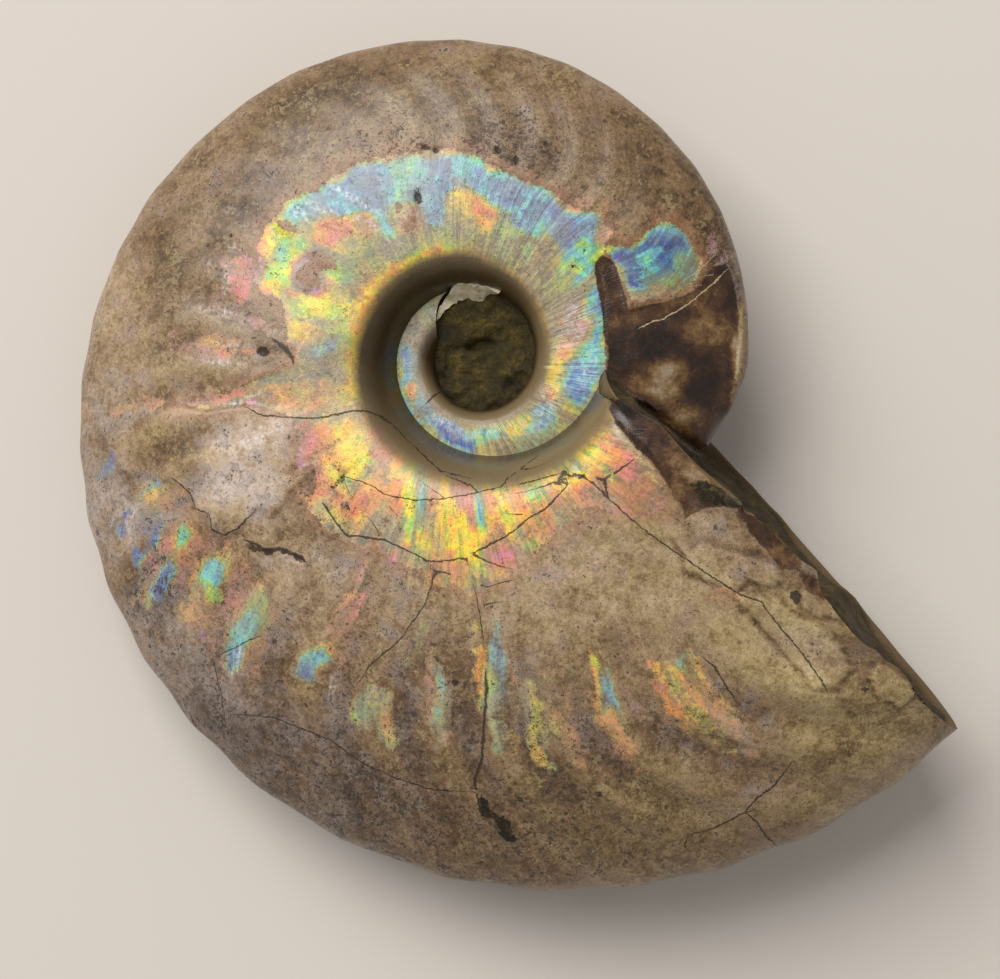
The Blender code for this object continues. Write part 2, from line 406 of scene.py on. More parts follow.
PEARL_AROUND_THE_HOLLOW = [
    (607, 300), (599, 262), (606, 240), (613, 232), (601, 216), (580, 208), (560, 198), (545, 187),
    (520, 177), (500, 167), (465, 151), (440, 147), (425, 149), (380, 156), (352, 164), (335, 174),
    (318, 189), (292, 198), (283, 206), (268, 224), (256, 243), (258, 260), (252, 280), (262, 292),
    (280, 300), (286, 318), (284, 336), (296, 352), (288, 366), (262, 375), (240, 388), (205, 398),
    (168, 402), (205, 411), (245, 405), (268, 410), (292, 418), (300, 440), (297, 470), (300, 500),
    (315, 515), (328, 530), (345, 540), (372, 552), (395, 562), (425, 572), (440, 588), (456, 580),
    (470, 596), (490, 588), (515, 572), (532, 556), (552, 538), (572, 520), (592, 505), (612, 512),
    (640, 520), (664, 508), (660, 480), (645, 455), (625, 430), (612, 415), (602, 402), (607, 385),
    (605, 345),
]
PEARL_BESIDE_THE_BAR = [
    (602, 236), (612, 243), (630, 246), (640, 238), (655, 225), (675, 222), (690, 240), (703, 262),
    (700, 280), (680, 292), (655, 300), (632, 301), (623, 286), (613, 262),
]
# Ovals of bared pearl along the rib crests and the outer flank: x, y, half length, half width, slope
PEARL_ON_THE_RIBS = [
    (495, 672, 58, 13, 86), (478, 668, 28, 5, 86), (500, 735, 26, 7, 80), (372, 706, 34, 15, 96),
    (385, 734, 16, 11, 80), (538, 740, 52, 8, 78), (598, 676, 32, 9, 74), (611, 692, 34, 9, 74),
    (620, 740, 30, 8, 68), (664, 680, 34, 12, 62), (681, 663, 13, 9, 30), (704, 694, 44, 13, 60),
    (735, 735, 40, 14, 52), (312, 664, 30, 14, 118), (348, 610, 44, 13, 118), (250, 620, 44, 26, 118),
    (235, 655, 24, 12, 112), (209, 580, 26, 22, 118), (182, 545, 26, 24, 120), (186, 612, 24, 18, 110),
    (158, 582, 30, 12, 115), (146, 545, 28, 5, 118), (131, 517, 18, 3, 125), (109, 468, 16, 6, 118),
    (200, 636, 16, 10, 100), (112, 412, 10, 7, 0), (236, 278, 22, 17, 90), (224, 262, 14, 6, 20),
    (215, 340, 34, 5, 8), (250, 318, 22, 6, 20), (240, 352, 22, 5, 4), (150, 402, 40, 6, -6),
    (440, 690, 46, 7, 94), (415, 640, 20, 8, 100), (165, 500, 30, 10, -20), (140, 590, 16, 8, 118),
]
# Where pearl shows thinly through the outer skin; the last number is how much
PEARL_HAZE = [
    (215, 600, 130, 62, 62, 0.62), (170, 520, 60, 44, 60, 0.55), (345, 625, 70, 34, 112, 0.55),
    (440, 690, 60, 26, 92, 0.5), (500, 690, 90, 28, 84, 0.58), (560, 720, 70, 22, 76, 0.55),
    (615, 710, 80, 28, 72, 0.62), (700, 705, 80, 36, 56, 0.66), (225, 290, 60, 26, 80, 0.45),
    (215, 345, 60, 18, 8, 0.5), (230, 395, 70, 16, -10, 0.6), (420, 590, 40, 20, 10, 0.5),
    (620, 500, 60, 20, 20, 0.5), (600, 215, 50, 16, 40, 0.5), (720, 250, 30, 10, 70, 0.5),
    (718, 597, 20, 9, 20, 0.75), (760, 770, 40, 14, 20, 0.4),
]
# Where the pearl keeps its plain grey-brown skin
PEARL_COVERED = [
    (303, 270, 8, 15, 25), (314, 258, 16, 6, 12), (313, 281, 14, 5, -8), (329, 264, 6, 9, 20),
    (375, 527, 11, 8, 0), (409, 220, 15, 6, 70), (288, 231, 10, 4, 10), (340, 500, 12, 5, 60),
    (300, 490, 8, 14, 20),
]

# Hues run along one band: violet, blue, cyan, green, yellow, orange, rose, lilac
VIOLET, INDIGO, BLUE, CYAN, GREEN, LIME = 0.03, 0.1, 0.19, 0.29, 0.38, 0.48
YELLOW, ORANGE, SALMON, ROSE, LILAC = 0.58, 0.67, 0.77, 0.87, 0.96

# Dabs of hue: x, y, half length, half width, slope, hue and strength of colour
HUES = [
    # broad thin pearl along the ribs and far out
    (215, 600, 140, 80, 62, SALMON, 0.42), (160, 620, 50, 24, 60, ROSE, 0.35),
    (140, 540, 60, 16, 112, VIOLET, 0.3), (250, 560, 50, 20, 30, SALMON, 0.55),
    (345, 620, 80, 36, 112, SALMON, 0.32), (500, 700, 110, 26, 84, ORANGE, 0.28),
    (600, 720, 100, 44, 72, ORANGE, 0.4), (700, 710, 90, 44, 56, ORANGE, 0.42),
    (640, 700, 40, 16, 70, ROSE, 0.3), (225, 290, 70, 40, 80, ROSE, 0.5),
    (220, 345, 70, 22, 8, ROSE, 0.5), (620, 500, 70, 26, 20, SALMON, 0.45),
    (718, 597, 24, 12, 20, SALMON, 0.5), (760, 770, 50, 18, 20, ORANGE, 0.35),
    (600, 215, 60, 20, 40, ORANGE, 0.45), (720, 250, 34, 12, 70, ROSE, 0.45),
    (440, 690, 60, 24, 92, LILAC, 0.2),
    # the blue crescent above the hollow, from left to right
    (308, 214, 26, 14, -30, CYAN, 0.75), (335, 205, 26, 18, -40, BLUE, 0.5),
    (365, 190, 34, 24, -25, BLUE, 0.42), (372, 224, 38, 7, 32, CYAN, 0.8),
    (408, 178, 30, 26, 0, CYAN, 0.5), (425, 200, 20, 30, 20, BLUE, 0.35),
    (455, 175, 30, 24, 10, BLUE, 0.62), (478, 172, 10, 22, 15, CYAN, 0.8),
    (500, 192, 32, 22, 25, BLUE, 0.55), (538, 212, 30, 24, 35, BLUE, 0.55),
    (575, 232, 24, 26, 40, INDIGO, 0.35), (545, 225, 10, 22, 20, CYAN, 0.6),
    (478, 208, 34, 14, 38, ORANGE, 0.72), (455, 197, 14, 8, 10, YELLOW, 0.8),
    (500, 228, 12, 14, 40, YELLOW, 0.6), (412, 218, 10, 16, 0, SALMON, 0.4),
    # the beige shoulder above the hollow
    (400, 250, 26, 14, -10, LIME, 0.05), (440, 236, 30, 14, 0, LIME, 0.1),
    (520, 246, 30, 14, 30, LIME, 0.15), (545, 262, 18, 18, 40, YELLOW, 0.1),
    # the right side of the hollow
    (578, 262, 34, 16, 115, CYAN, 0.75), (592, 250, 18, 10, 40, GREEN, 0.8),
    (560, 285, 20, 10, 120, LIME, 0.35), (574, 322, 26, 15, 90, LILAC, 0.02),
    (600, 315, 40, 9, 92, BLUE, 0.85), (587, 300, 20, 6, 110, CYAN, 0.7),
    (584, 378, 36, 19, 100, BLUE, 0.9), (594, 352, 16, 12, 0, CYAN, 0.8),
    (556, 378, 30, 9, 102, YELLOW, 1.0), (551, 400, 12, 8, 90, ORANGE, 0.9),
    (566, 348, 12, 8, 0, ORANGE, 0.75), (575, 405, 8, 10, 0, LIME, 0.9),
    (541, 417, 20, 13, -40, CYAN, 0.6), (512, 427, 22, 9, -10, LIME, 0.7),
    (480, 434, 30, 8, 6, CYAN, 0.6), (448, 428, 20, 10, 30, BLUE, 0.45),
    (425, 380, 34, 20, 75, CYAN, 0.25), (402, 368, 30, 5, 88, BLUE, 0.85),
    (412, 390, 9, 7, 60, ORANGE, 0.75), (409, 412, 16, 5, 62, CYAN, 0.7),
    (450, 436, 24, 4, 24, INDIGO, 0.7),
    # the left side, outside the hollow
    (283, 246, 20, 19, -20, GREEN, 1.0), (262, 250, 18, 7, 100, YELLOW, 1.0),
    (276, 276, 20, 13, 10, LIME, 1.0), (268, 288, 16, 7, 20, YELLOW, 1.0),
    (292, 290, 14, 6, 20, ORANGE, 0.95), (340, 237, 36, 21, 8, ORANGE, 0.9),
    (365, 228, 12, 14, 0, ORANGE, 0.5), (310, 270, 22, 20, -20, LILAC, 0.2),
    (312, 305, 26, 15, 10, LIME, 0.95), (337, 274, 22, 12, 8, GREEN, 0.7),
    (366, 262, 16, 24, 20, LIME, 0.35), (300, 332, 22, 13, 10, YELLOW, 0.95),
    (345, 325, 24, 22, 20, LIME, 0.6), (322, 353, 20, 8, -30, BLUE, 0.45),
    (345, 358, 16, 12, 0, LIME, 0.4), (362, 300, 12, 30, 10, ORANGE, 0.3),
    (280, 365, 24, 9, -24, ORANGE, 0.9), (225, 396, 40, 7, -12, SALMON, 0.75),
    (182, 402, 24, 6, -4, SALMON, 0.4), (298, 396, 36, 16, -4, ORANGE, 0.6),
    (345, 394, 22, 12, 0, YELLOW, 0.4), (255, 400, 16, 6, -15, ROSE, 0.6),
    # the gold field below the hollow
    (325, 462, 30, 42, 0, ORANGE, 0.72), (305, 445, 10, 30, 0, ROSE, 0.5),
    (352, 450, 18, 30, -10, YELLOW, 0.85), (385, 455, 18, 34, -5, SALMON, 0.55),
    (345, 510, 20, 20, 0, YELLOW, 0.9), (372, 495, 16, 20, 0, ORANGE, 0.7),
    (398, 490, 10, 44, -4, ORANGE, 0.8), (411, 508, 7, 46, 0, LIME, 0.95),
    (424, 492, 6, 30, 0, CYAN, 0.6), (436, 500, 7, 36, 0, SALMON, 0.65),
    (452, 520, 16, 38, 0, YELLOW, 1.0), (468, 500, 8, 30, -5, ROSE, 0.6), (479, 512, 5, 20, 0, CYAN, 0.8),
    (492, 516, 10, 34, -8, ORANGE, 0.9), (508, 520, 8, 30, -12, YELLOW, 0.95),
    (524, 512, 9, 28, -18, ORANGE, 0.85), (540, 500, 10, 26, -24, YELLOW, 0.9),
    (556, 490, 10, 22, -30, ORANGE, 0.8), (470, 548, 20, 13, -10, YELLOW, 1.0),
    (425, 545, 12, 14, 0, YELLOW, 0.9), (392, 556, 22, 12, 10, ROSE, 0.6),
    (505, 552, 22, 12, -20, ROSE, 0.7), (540, 530, 20, 12, -35, SALMON, 0.6),
    (575, 478, 20, 14, -35, YELLOW, 0.85), (600, 450, 24, 18, -50, ORANGE, 0.8),
    (622, 455, 30, 10, 45, SALMON, 0.75), (640, 480, 26, 10, 45, SALMON, 0.35),
    (590, 440, 10, 16, 0, YELLOW, 0.7), (600, 490, 26, 14, 0, SALMON, 0.4),
    (450, 572, 24, 12, 0, SALMON, 0.55), (492, 582, 30, 14, 0, YELLOW, 0.3),
    (435, 582, 10, 12, 0, ORANGE, 0.6),
    # the blue patch beside the dark bar
    (625, 255, 16, 10, 20, INDIGO, 1.0), (640, 284, 14, 10, 0, INDIGO, 0.85),
    (655, 262, 30, 26, 0, BLUE, 0.75), (684, 252, 18, 10, 60, BLUE, 0.6),
    (690, 268, 16, 14, 0, GREEN, 0.3), (665, 280, 22, 7, -15, GREEN, 0.4),
    (660, 235, 20, 8, -10, CYAN, 0.55), (612, 246, 10, 7, 0, GREEN, 0.8),
    # the rib crests, from right to left
    (668, 686, 42, 13, 60, ORANGE, 0.85), (655, 668, 14, 6, 60, SALMON, 0.9),
    (690, 712, 40, 5, 55, YELLOW, 0.6), (681, 663, 13, 10, 30, GREEN, 1.0),
    (704, 694, 44, 12, 60, ORANGE, 0.6), (735, 735, 40, 14, 52, SALMON, 0.4),
    (725, 745, 16, 6, 50, YELLOW, 0.5), (600, 685, 44, 11, 74, ORANGE, 0.85),
    (598, 668, 14, 6, 74, YELLOW, 1.0), (611, 694, 28, 9, 74, CYAN, 0.6),
    (609, 706, 12, 7, 74, BLUE, 0.6), (612, 668, 10, 5, 74, GREEN, 0.8),
    (620, 740, 32, 8, 68, ORANGE, 0.6), (538, 722, 26, 6, 80, YELLOW, 0.7),
    (542, 765, 26, 8, 76, ORANGE, 0.65), (495, 665, 52, 12, 86, CYAN, 0.4),
    (494, 705, 34, 9, 84, GREEN, 0.3), (478, 668, 28, 5, 86, YELLOW, 1.0),
    (480, 655, 10, 4, 86, ORANGE, 1.0), (500, 738, 26, 7, 80, LIME, 0.35),
    (372, 700, 28, 14, 96, GREEN, 0.28), (388, 730, 14, 10, 80, YELLOW, 0.45),
    (440, 690, 46, 7, 94, GREEN, 0.22), (348, 608, 46, 14, 118, SALMON, 0.4),
    (326, 645, 14, 10, 118, ORANGE, 0.75), (312, 664, 20, 11, 118, CYAN, 0.7),
    (310, 676, 10, 8, 118, BLUE, 0.7), (255, 600, 26, 14, 0, SALMON, 0.5),
    (254, 620, 34, 17, 120, GREEN, 0.5), (268, 622, 12, 10, 0, GREEN, 0.6),
    (282, 614, 12, 9, 90, ORANGE, 0.65), (244, 632, 26, 15, 125, CYAN, 0.55),
    (236, 658, 22, 9, 110, CYAN, 0.85), (209, 580, 28, 23, 118, YELLOW, 0.6),
    (210, 578, 18, 14, 110, CYAN, 0.9), (212, 596, 10, 8, 0, GREEN, 0.8),
    (182, 545, 26, 24, 120, SALMON, 0.5), (184, 540, 16, 9, 110, GREEN, 0.85),
    (186, 612, 24, 18, 110, ORANGE, 0.45), (160, 583, 30, 11, 112, INDIGO, 0.75),
    (147, 545, 28, 6, 118, VIOLET, 0.6), (150, 566, 14, 7, 118, ROSE, 0.6),
    (131, 517, 18, 6, 125, VIOLET, 0.7), (109, 468, 16, 6, 118, VIOLET, 0.7),
    (172, 590, 12, 8, 118, LILAC, 0.5), (200, 638, 14, 8, 100, LILAC, 0.5),
    (112, 412, 12, 8, 0, LILAC, 0.4), (165, 500, 30, 10, -20, ORANGE, 0.4),
    (206, 630, 8, 6, 0, YELLOW, 0.4),
    # rose streaks far out on the left
    (236, 280, 22, 14, 90, 0.91, 1.0), (228, 262, 18, 8, 0, LILAC, 0.35), (240, 262, 8, 12, 0, ROSE, 0.7),
    (215, 340, 36, 6, 8, SALMON, 0.5), (250, 318, 22, 7, 20, LILAC, 0.4),
    (240, 352, 24, 6, 4, SALMON, 0.55), (150, 402, 40, 8, -6, SALMON, 0.35),
]

# The dark calcite where the outer shell is gone, and the bar beside the hollow
CALCITE_FIELD = [
    (606, 318), (640, 306), (668, 302), (696, 290), (712, 268), (728, 262), (738, 290), (741, 320),
    (739, 350), (736, 380), (728, 415), (719, 445), (700, 446), (672, 424), (645, 402), (618, 386),
    (607, 376), (609, 345),
]
CALCITE_BAR = [(594, 264), (602, 256), (614, 260), (624, 290), (632, 325), (622, 350), (606, 345), (600, 300)]
WEDGE = [
    (606, 401), (625, 398), (650, 404), (686, 432), (724, 462), (752, 484), (764, 503), (716, 506),
    (700, 512), (683, 520), (674, 498), (655, 465), (640, 450), (612, 421),
]
# Lighter and darker places in the calcite: x, y, half length, half width, slope, paleness
CALCITE_TONES = [
    (690, 360, 90, 80, 0, 0.26), (612, 305, 50, 16, 82, 0.32), (660, 306, 44, 12, -14, 0.62),
    (704, 330, 30, 20, -20, 0.72), (720, 350, 14, 12, 0, 0.6), (676, 372, 14, 10, 0, 0.55),
    (668, 346, 22, 14, 0, 0.12), (716, 300, 20, 10, -60, 0.6), (664, 388, 24, 16, 30, 0.92),
    (642, 376, 14, 10, 0, 0.7), (686, 415, 20, 14, 30, 0.6), (722, 372, 14, 26, 0, 0.35),
    (700, 390, 20, 14, 0, 0.12), (710, 430, 20, 16, 30, 0.5), (741, 355, 6, 44, 0, 0.9),
    (626, 412, 22, 12, 20, 0.05), (650, 438, 22, 12, 40, 0.4), (668, 462, 20, 12, 50, 0.55),
    (690, 476, 22, 14, 40, 0.8), (676, 440, 20, 7, 45, 0.6), (726, 498, 20, 10, 40, 0.7),
    (706, 500, 24, 12, 20, 0.35), (770, 540, 60, 14, 46, 0.4),
]
MOSS = [
    (718, 458, 14, 9, 30), (708, 492, 20, 9, 20), (736, 499, 14, 7, 45), (504, 828, 14, 7, 60),
    (484, 806, 12, 5, 80), (925, 690, 28, 10, 48), (846, 606, 16, 6, 46), (872, 634, 30, 7, 46),
    (902, 664, 26, 8, 46),
]
RUST_EDGE = [(762, 532, 26, 9, 46), (784, 556, 20, 11, 44), (812, 584, 18, 8, 46), (752, 516, 18, 6, 40)]
# Small holes through the outer skin
HOLES = [
    (796, 597, 8, 5, 70), (263, 352, 6, 5, 0), (418, 198, 7, 4, 70), (425, 147, 5, 3, 10),
    (436, 150, 3, 3, 0), (498, 150, 4, 3, 30), (516, 160, 3, 4, 0), (545, 142, 4, 2, 20),
    (306, 705, 4, 2, 10), (426, 588, 4, 4, 0), (455, 683, 4, 3, 0), (252, 548, 9, 3, 20),
    (268, 552, 6, 4, 10), (285, 551, 5, 3, 0), (299, 558, 8, 3, 30), (230, 236, 3, 2, 0),
    (342, 478, 5, 3, 50), (330, 492, 4, 6, 0), (318, 470, 3, 4, 0), (350, 506, 5, 3, 10),
    (323, 512, 4, 3, 0), (503, 626, 5, 2, 0), (362, 245, 3, 3, 0), (356, 300, 3, 2, 0),
    (575, 262, 3, 5, 20), (585, 250, 2, 4, 20), (565, 473, 8, 4, 12), (588, 478, 9, 3, 8),
    (700, 560, 3, 3, 0), (865, 690, 4, 3, 0), (520, 800, 5, 3, 20), (600, 795, 4, 3, 0),
]
PLATE = [
    (96, 420), (150, 404), (205, 410), (250, 404), (292, 418), (300, 440), (298, 478), (276, 512),
    (256, 508), (240, 528), (225, 535), (212, 530), (210, 515), (197, 510), (190, 492), (175, 480),
    (120, 470),
]
# Small flaked lumps of pale shell by the break
LUMPS_BY_THE_BREAK = [
    [(684, 552), (700, 545), (722, 549), (742, 556), (760, 557), (775, 566), (781, 580), (768, 585),
     (746, 578), (728, 590), (706, 580), (690, 570)],
    [(738, 597), (760, 591), (778, 597), (790, 610), (812, 622), (836, 640), (848, 664), (836, 684),
     (815, 690), (800, 670), (782, 650), (764, 630), (750, 614)],
    [(802, 590), (815, 582), (827, 581), (834, 593), (839, 608), (846, 621), (832, 619), (815, 612),
     (804, 603)],
    [(866, 664), (884, 660), (902, 676), (915, 694), (900, 706), (880, 700), (868, 684)],
]

# Cracks: half width in millimetres, then the points that each runs through
CRACKS = [
    (0.16, [(315, 490), (330, 515), (345, 535), (360, 537), (385, 540), (405, 550), (430, 562), (455, 560),
            (480, 550), (505, 537), (530, 518), (550, 505), (572, 480)]),
    (0.09, [(340, 475), (355, 480), (370, 485), (385, 495), (415, 500), (440, 499), (460, 496), (485, 490),
            (510, 485), (535, 480), (552, 475), (566, 472)]),
    (0.22, [(562, 470), (575, 475), (590, 478), (604, 480), (620, 470), (636, 458)]),
    (0.13, [(588, 478), (600, 490), (620, 510), (650, 535), (680, 555), (710, 575), (740, 595), (760, 600),
            (775, 620), (800, 650), (820, 680), (829, 694)]),
    (0.12, [(243, 405), (262, 415), (290, 418), (320, 418), (345, 412), (365, 410), (380, 415), (392, 422),
            (410, 441), (440, 470), (470, 478)]),
    (0.2, [(345, 412), (365, 410), (380, 415), (394, 424)]),
    (0.1, [(437, 570), (430, 590), (425, 605), (400, 640), (370, 665), (360, 682)]),
    (0.1, [(232, 714), (256, 716), (275, 718), (300, 728), (330, 740), (365, 765), (400, 780), (432, 790),
           (470, 792)]),
    (0.1, [(213, 658), (235, 648), (250, 640), (262, 636)]),
    (0.07, [(213, 660), (217, 676), (222, 697), (226, 730)]),
    (0.16, [(690, 835), (715, 828), (745, 812), (755, 800), (775, 785), (792, 762)]),
    (0.16, [(745, 812), (757, 822), (765, 835), (778, 847)]),
    (0.1, [(690, 835), (684, 846), (690, 852)]),
    (0.1, [(470, 575), (475, 590), (500, 583), (516, 580)]),
    (0.1, [(475, 590), (481, 620), (484, 650)]),
    (0.5, [(273, 340), (285, 347), (290, 354), (294, 362)]),
    (0.14, [(425, 405), (432, 397), (441, 391)]),
    (0.32, [(245, 540), (256, 545), (268, 551), (281, 549), (295, 555), (306, 562)]),
    (0.25, [(485, 668), (487, 690), (484, 720), (482, 760), (475, 782), (479, 805)]),
    (0.3, [(612, 386), (640, 402), (660, 420), (684, 440), (706, 456)]),
    # This one runs along the plate's lower edge: a dark line painted as the plate's shadow there, not a crack
    (0.12, [(172, 478), (190, 492), (196, 509), (210, 514), (212, 530), (225, 535), (240, 528), (256, 510)]),
    (0.1, [(190, 715), (193, 722), (198, 731)]),
    (0.08, [(500, 484), (516, 470), (540, 452)]),
    (0.14, [(700, 655), (716, 668), (728, 690), (740, 705)]),
]
# Pale calcite veins
VEINS = [
    (0.11, [(638, 329), (652, 322), (665, 318), (690, 303), (706, 290), (716, 282), (729, 269)]),
    (0.07, [(680, 283), (692, 276), (705, 265), (719, 251)]),
    (0.13, [(572, 346), (585, 342), (601, 337)]),
]
# The slit in the filling, and the flake of pale inner shell on its edge: middle line and half width
SLIT = (478, 346, 26, 6, -8)
FLAKE = [
    (433, 328, 1), (436, 319, 2), (441, 311, 3), (447, 302, 4), (456, 295, 6), (467, 292, 8),
    (478, 291, 8), (489, 292, 5), (498, 294, 1),
]

# The flake lies at this height and leans up on the wall from here on along it, in millimetres
FLAKE_LEVEL = 15.3
FLAKE_RISE = 1.1
FLAKE_LEANS = (2.5, 4.5)
FLAKE_THICKNESS = 0.4
# The filling rises towards the top of the picture by this share, and its slit is this deep
FILL_TILT = 0.11
SLIT_DEPTH = 1.8

# Dabs of plain shell: x, y, half length, half width, slope, paleness, dark spots and purple cast
SHELL_TONES = [
    (430, 110, 220, 60, 0, 0.44, 0.45, 0.35), (330, 95, 90, 26, -30, 0.36, 0.3, 0.2),
    (520, 145, 70, 26, 15, 0.38, 1.0, 0.45), (620, 150, 70, 40, 40, 0.4, 0.45, 0.4),
    (690, 210, 60, 40, 60, 0.38, 0.3, 0.4), (735, 280, 50, 16, 85, 0.42, 0.1, 0.95),
    (740, 360, 50, 8, 90, 0.62, 0.1, 0.3), (410, 145, 50, 14, -10, 0.48, 0.8, 0.4),
    (205, 140, 44, 24, -50, 0.52, 0.3, 0.5), (250, 190, 50, 26, -45, 0.34, 0.4, 0.4),
    (170, 250, 60, 30, -40, 0.34, 0.3, 0.25), (200, 225, 50, 16, -50, 0.46, 0.3, 0.4),
    (118, 300, 34, 60, 0, 0.68, 0.35, 0.6), (200, 320, 60, 26, 0, 0.55, 0.35, 0.55),
    (180, 365, 70, 18, 5, 0.62, 0.15, 0.4), (110, 400, 34, 44, 0, 0.7, 0.4, 0.75),
    (190, 455, 100, 60, 0, 0.66, 0.35, 0.7), (165, 450, 44, 26, 10, 0.5, 0.3, 0.35),
    (248, 440, 46, 30, -30, 0.84, 0.2, 0.75), (250, 490, 44, 34, 0, 0.84, 0.25, 0.75),
    (115, 520, 36, 60, 60, 0.7, 0.5, 0.9), (290, 560, 50, 20, 20, 0.72, 0.4, 0.7),
    (185, 650, 60, 44, 50, 0.68, 0.55, 0.95), (300, 595, 60, 50, 0, 0.68, 0.4, 0.7),
    (155, 590, 24, 40, 20, 0.4, 0.9, 1.0), (260, 745, 110, 50, 40, 0.36, 0.8, 0.85),
    (230, 685, 50, 22, 45, 0.52, 0.6, 0.9), (380, 810, 120, 50, 30, 0.38, 1.0, 0.8),
    (310, 795, 50, 18, 35, 0.46, 1.0, 0.85), (400, 620, 80, 60, 0, 0.6, 0.55, 0.6),
    (430, 700, 80, 60, 0, 0.48, 0.65, 0.6), (480, 840, 100, 40, 5, 0.42, 0.85, 0.5),
    (570, 770, 80, 50, 0, 0.42, 0.75, 0.45), (540, 600, 80, 50, 0, 0.7, 0.35, 0.5),
    (630, 560, 80, 60, 0, 0.7, 0.25, 0.4), (630, 670, 60, 44, 0, 0.56, 0.4, 0.4),
    (590, 840, 110, 30, 0, 0.48, 0.85, 0.3), (660, 800, 60, 40, 0, 0.5, 0.5, 0.25),
    (750, 760, 40, 24, 0, 0.42, 0.6, 0.4), (720, 620, 80, 50, 45, 0.7, 0.15, 0.25),
    (778, 638, 30, 16, 40, 0.84, 0.1, 0.2), (738, 606, 22, 12, 30, 0.8, 0.1, 0.25),
    (826, 655, 20, 12, 60, 0.82, 0.1, 0.1), (800, 660, 90, 40, 60, 0.72, 0.1, 0.15),
    (860, 720, 80, 50, -30, 0.56, 0.15, 0.0), (735, 550, 40, 20, 45, 0.55, 0.5, 0.5),
    (716, 597, 22, 10, 20, 0.6, 0.3, 0.3), (780, 820, 90, 24, -25, 0.54, 0.3, 0.15),
    (720, 850, 80, 16, -20, 0.48, 0.4, 0.35), (880, 780, 60, 16, -32, 0.62, 0.1, 0.4),
    (322, 490, 26, 40, 0, 0.6, 1.0, 0.5), (780, 700, 26, 14, 40, 0.56, 0.3, 0.2),
    (830, 760, 24, 12, -30, 0.44, 0.3, 0.1), (600, 400, 50, 16, -50, 0.62, 0.1, 0.45),
]
# Painted highlights: soft white gleams painted into the colour where the polish catches the window
PAINTED_GLEAMS = [
    (238, 251, 16, 4, 38), (226, 282, 14, 4, 90), (220, 312, 22, 4, 14), (255, 440, 26, 8, -35),
    (232, 345, 20, 3, 5), (300, 214, 14, 5, 30), (372, 226, 26, 3, 32), (215, 362, 26, 3, 4),
    (245, 400, 20, 3, -20), (282, 430, 12, 5, -40), (262, 440, 18, 4, -35), (318, 207, 22, 4, 20),
    (350, 196, 30, 3, 30), (575, 325, 26, 13, 100), (548, 402, 34, 10, 118), (586, 372, 22, 12, 100),
    (500, 430, 34, 8, -6), (447, 425, 24, 6, 35), (560, 350, 20, 8, 100), (236, 662, 16, 4, 112),
    (131, 515, 14, 2.5, 125), (330, 690, 14, 4, 110),
]
# Ovals where the pearl is darker, or brighter where the last number is below nothing: partly the pearl's own
# tone, partly painted shade on the upper left of the hollow and painted light on its lower and right side
PEARL_TONE_AND_PAINTED_SHADING = [
    (340, 205, 60, 24, -30, 0.4), (338, 240, 46, 28, 0, 0.7), (300, 362, 60, 36, -20, 0.6),
    (362, 266, 18, 44, 20, 0.7), (312, 392, 40, 16, 0, 0.6), (650, 490, 30, 30, 0, 0.6),
    (670, 270, 46, 32, 0, 0.8), (490, 424, 60, 18, -4, -0.9), (430, 495, 90, 60, 0, -0.3),
    (318, 490, 24, 36, 0, -0.7), (576, 340, 28, 74, 8, -0.5),
]


# The wall of the hollow: headings in degrees, width as a share of the whorl, and how much painted shade it
# has
WALL_HEADINGS = (0, 30, 60, 90, 135, 180, 225, 270, 315, 345, 360)
WALL_WIDTHS = (0.1, 0.08, 0.1, 0.135, 0.12, 0.1, 0.09, 0.08, 0.07, 0.06, 0.06)
WALL_PAINTED_SHADE = (0.15, 0.3, 0.7, 0.9, 1.0, 1.0, 0.6, 0.35, 0.2, 0.2, 0.2)
# On the first turn's wall: headings with the wall's widths, and headings with its painted shade
FIRST_WIDTHS = ((180, 360), (0.17, 0.1))
FIRST_WALL_PAINTED_SHADE = ((60, 95, 165, 200), (0.35, 0.95, 0.95, 0.2))
# Headings, and how strongly the growth lines show there
STREAKS_SHOW = ((0, 70, 110, 150, 215, 250, 360), (1, 1, 0.5, 0.15, 0.25, 1, 1))
# Headings, and how far the pearl along the wall's top edge has turned gold there
GOLD_EDGE = ((75, 105, 175, 205), (0, 0.9, 0.9, 0))
# How far the flank's edge stands past the break's own plane: pixel rows of the picture, millimetres
EDGE_AT = (405, 430, 470, 497, 512, 560, 588, 604, 640, 690, 712)
EDGE_REACH = (0.0, 1.1, 1.3, 0.9, 1.7, 2.2, 2.0, 0.9, 0.6, 0.8, 0.0)
# The shell is stretched over this many millimetres behind the break to reach there
EDGE_STRETCH = 9.0


# The shell's fields: what each place is made of, and how far it stands up or lies in

# What the upper flank has between the dabs, and what the rest of the shell has all over
UNDRAWN = {"hue": 0.5, "vivid": 0.16, "pale": 0.5, "spots": 0.4, "red": 0.5, "painted_gleam": 0.0, "pearl_tone_and_painted_shading": 0.0}
UNSEEN = {
    "calcite": -FIELD_REACH, "moss": -FIELD_REACH, "hole": -FIELD_REACH, "crack": FIELD_REACH,
    "crack_width": 0.0, "vein": FIELD_REACH, "vein_width": 0.0, "painted_gleam": 0.0, "pearl_tone_and_painted_shading": 0.0,
}
# How far each drawn thing stands up or lies in, and where its slope starts and ends, in millimetres
RELIEF = {
    "calcite": (-0.3, -0.3, 0.5), "wedge": (-0.55, -0.2, 0.7), "pearl": (-0.1, -0.25, 0.35),
    "plate": (0.3, -0.25, 0.25), "lumps": (0.3, -0.2, 0.2), "moss": (0.5, -0.4, 0.5),
    "hole": (-0.2, -0.1, 0.25),
}
# How much the rib crests change each of these: paler on the crests and darker in the troughs as painted light
# and shade, and less purple and less spotted on the crests
CREST_PAINTED_SHADING_AND_TONE = {"pale": 0.08, "red": -0.3, "spots": -0.3}


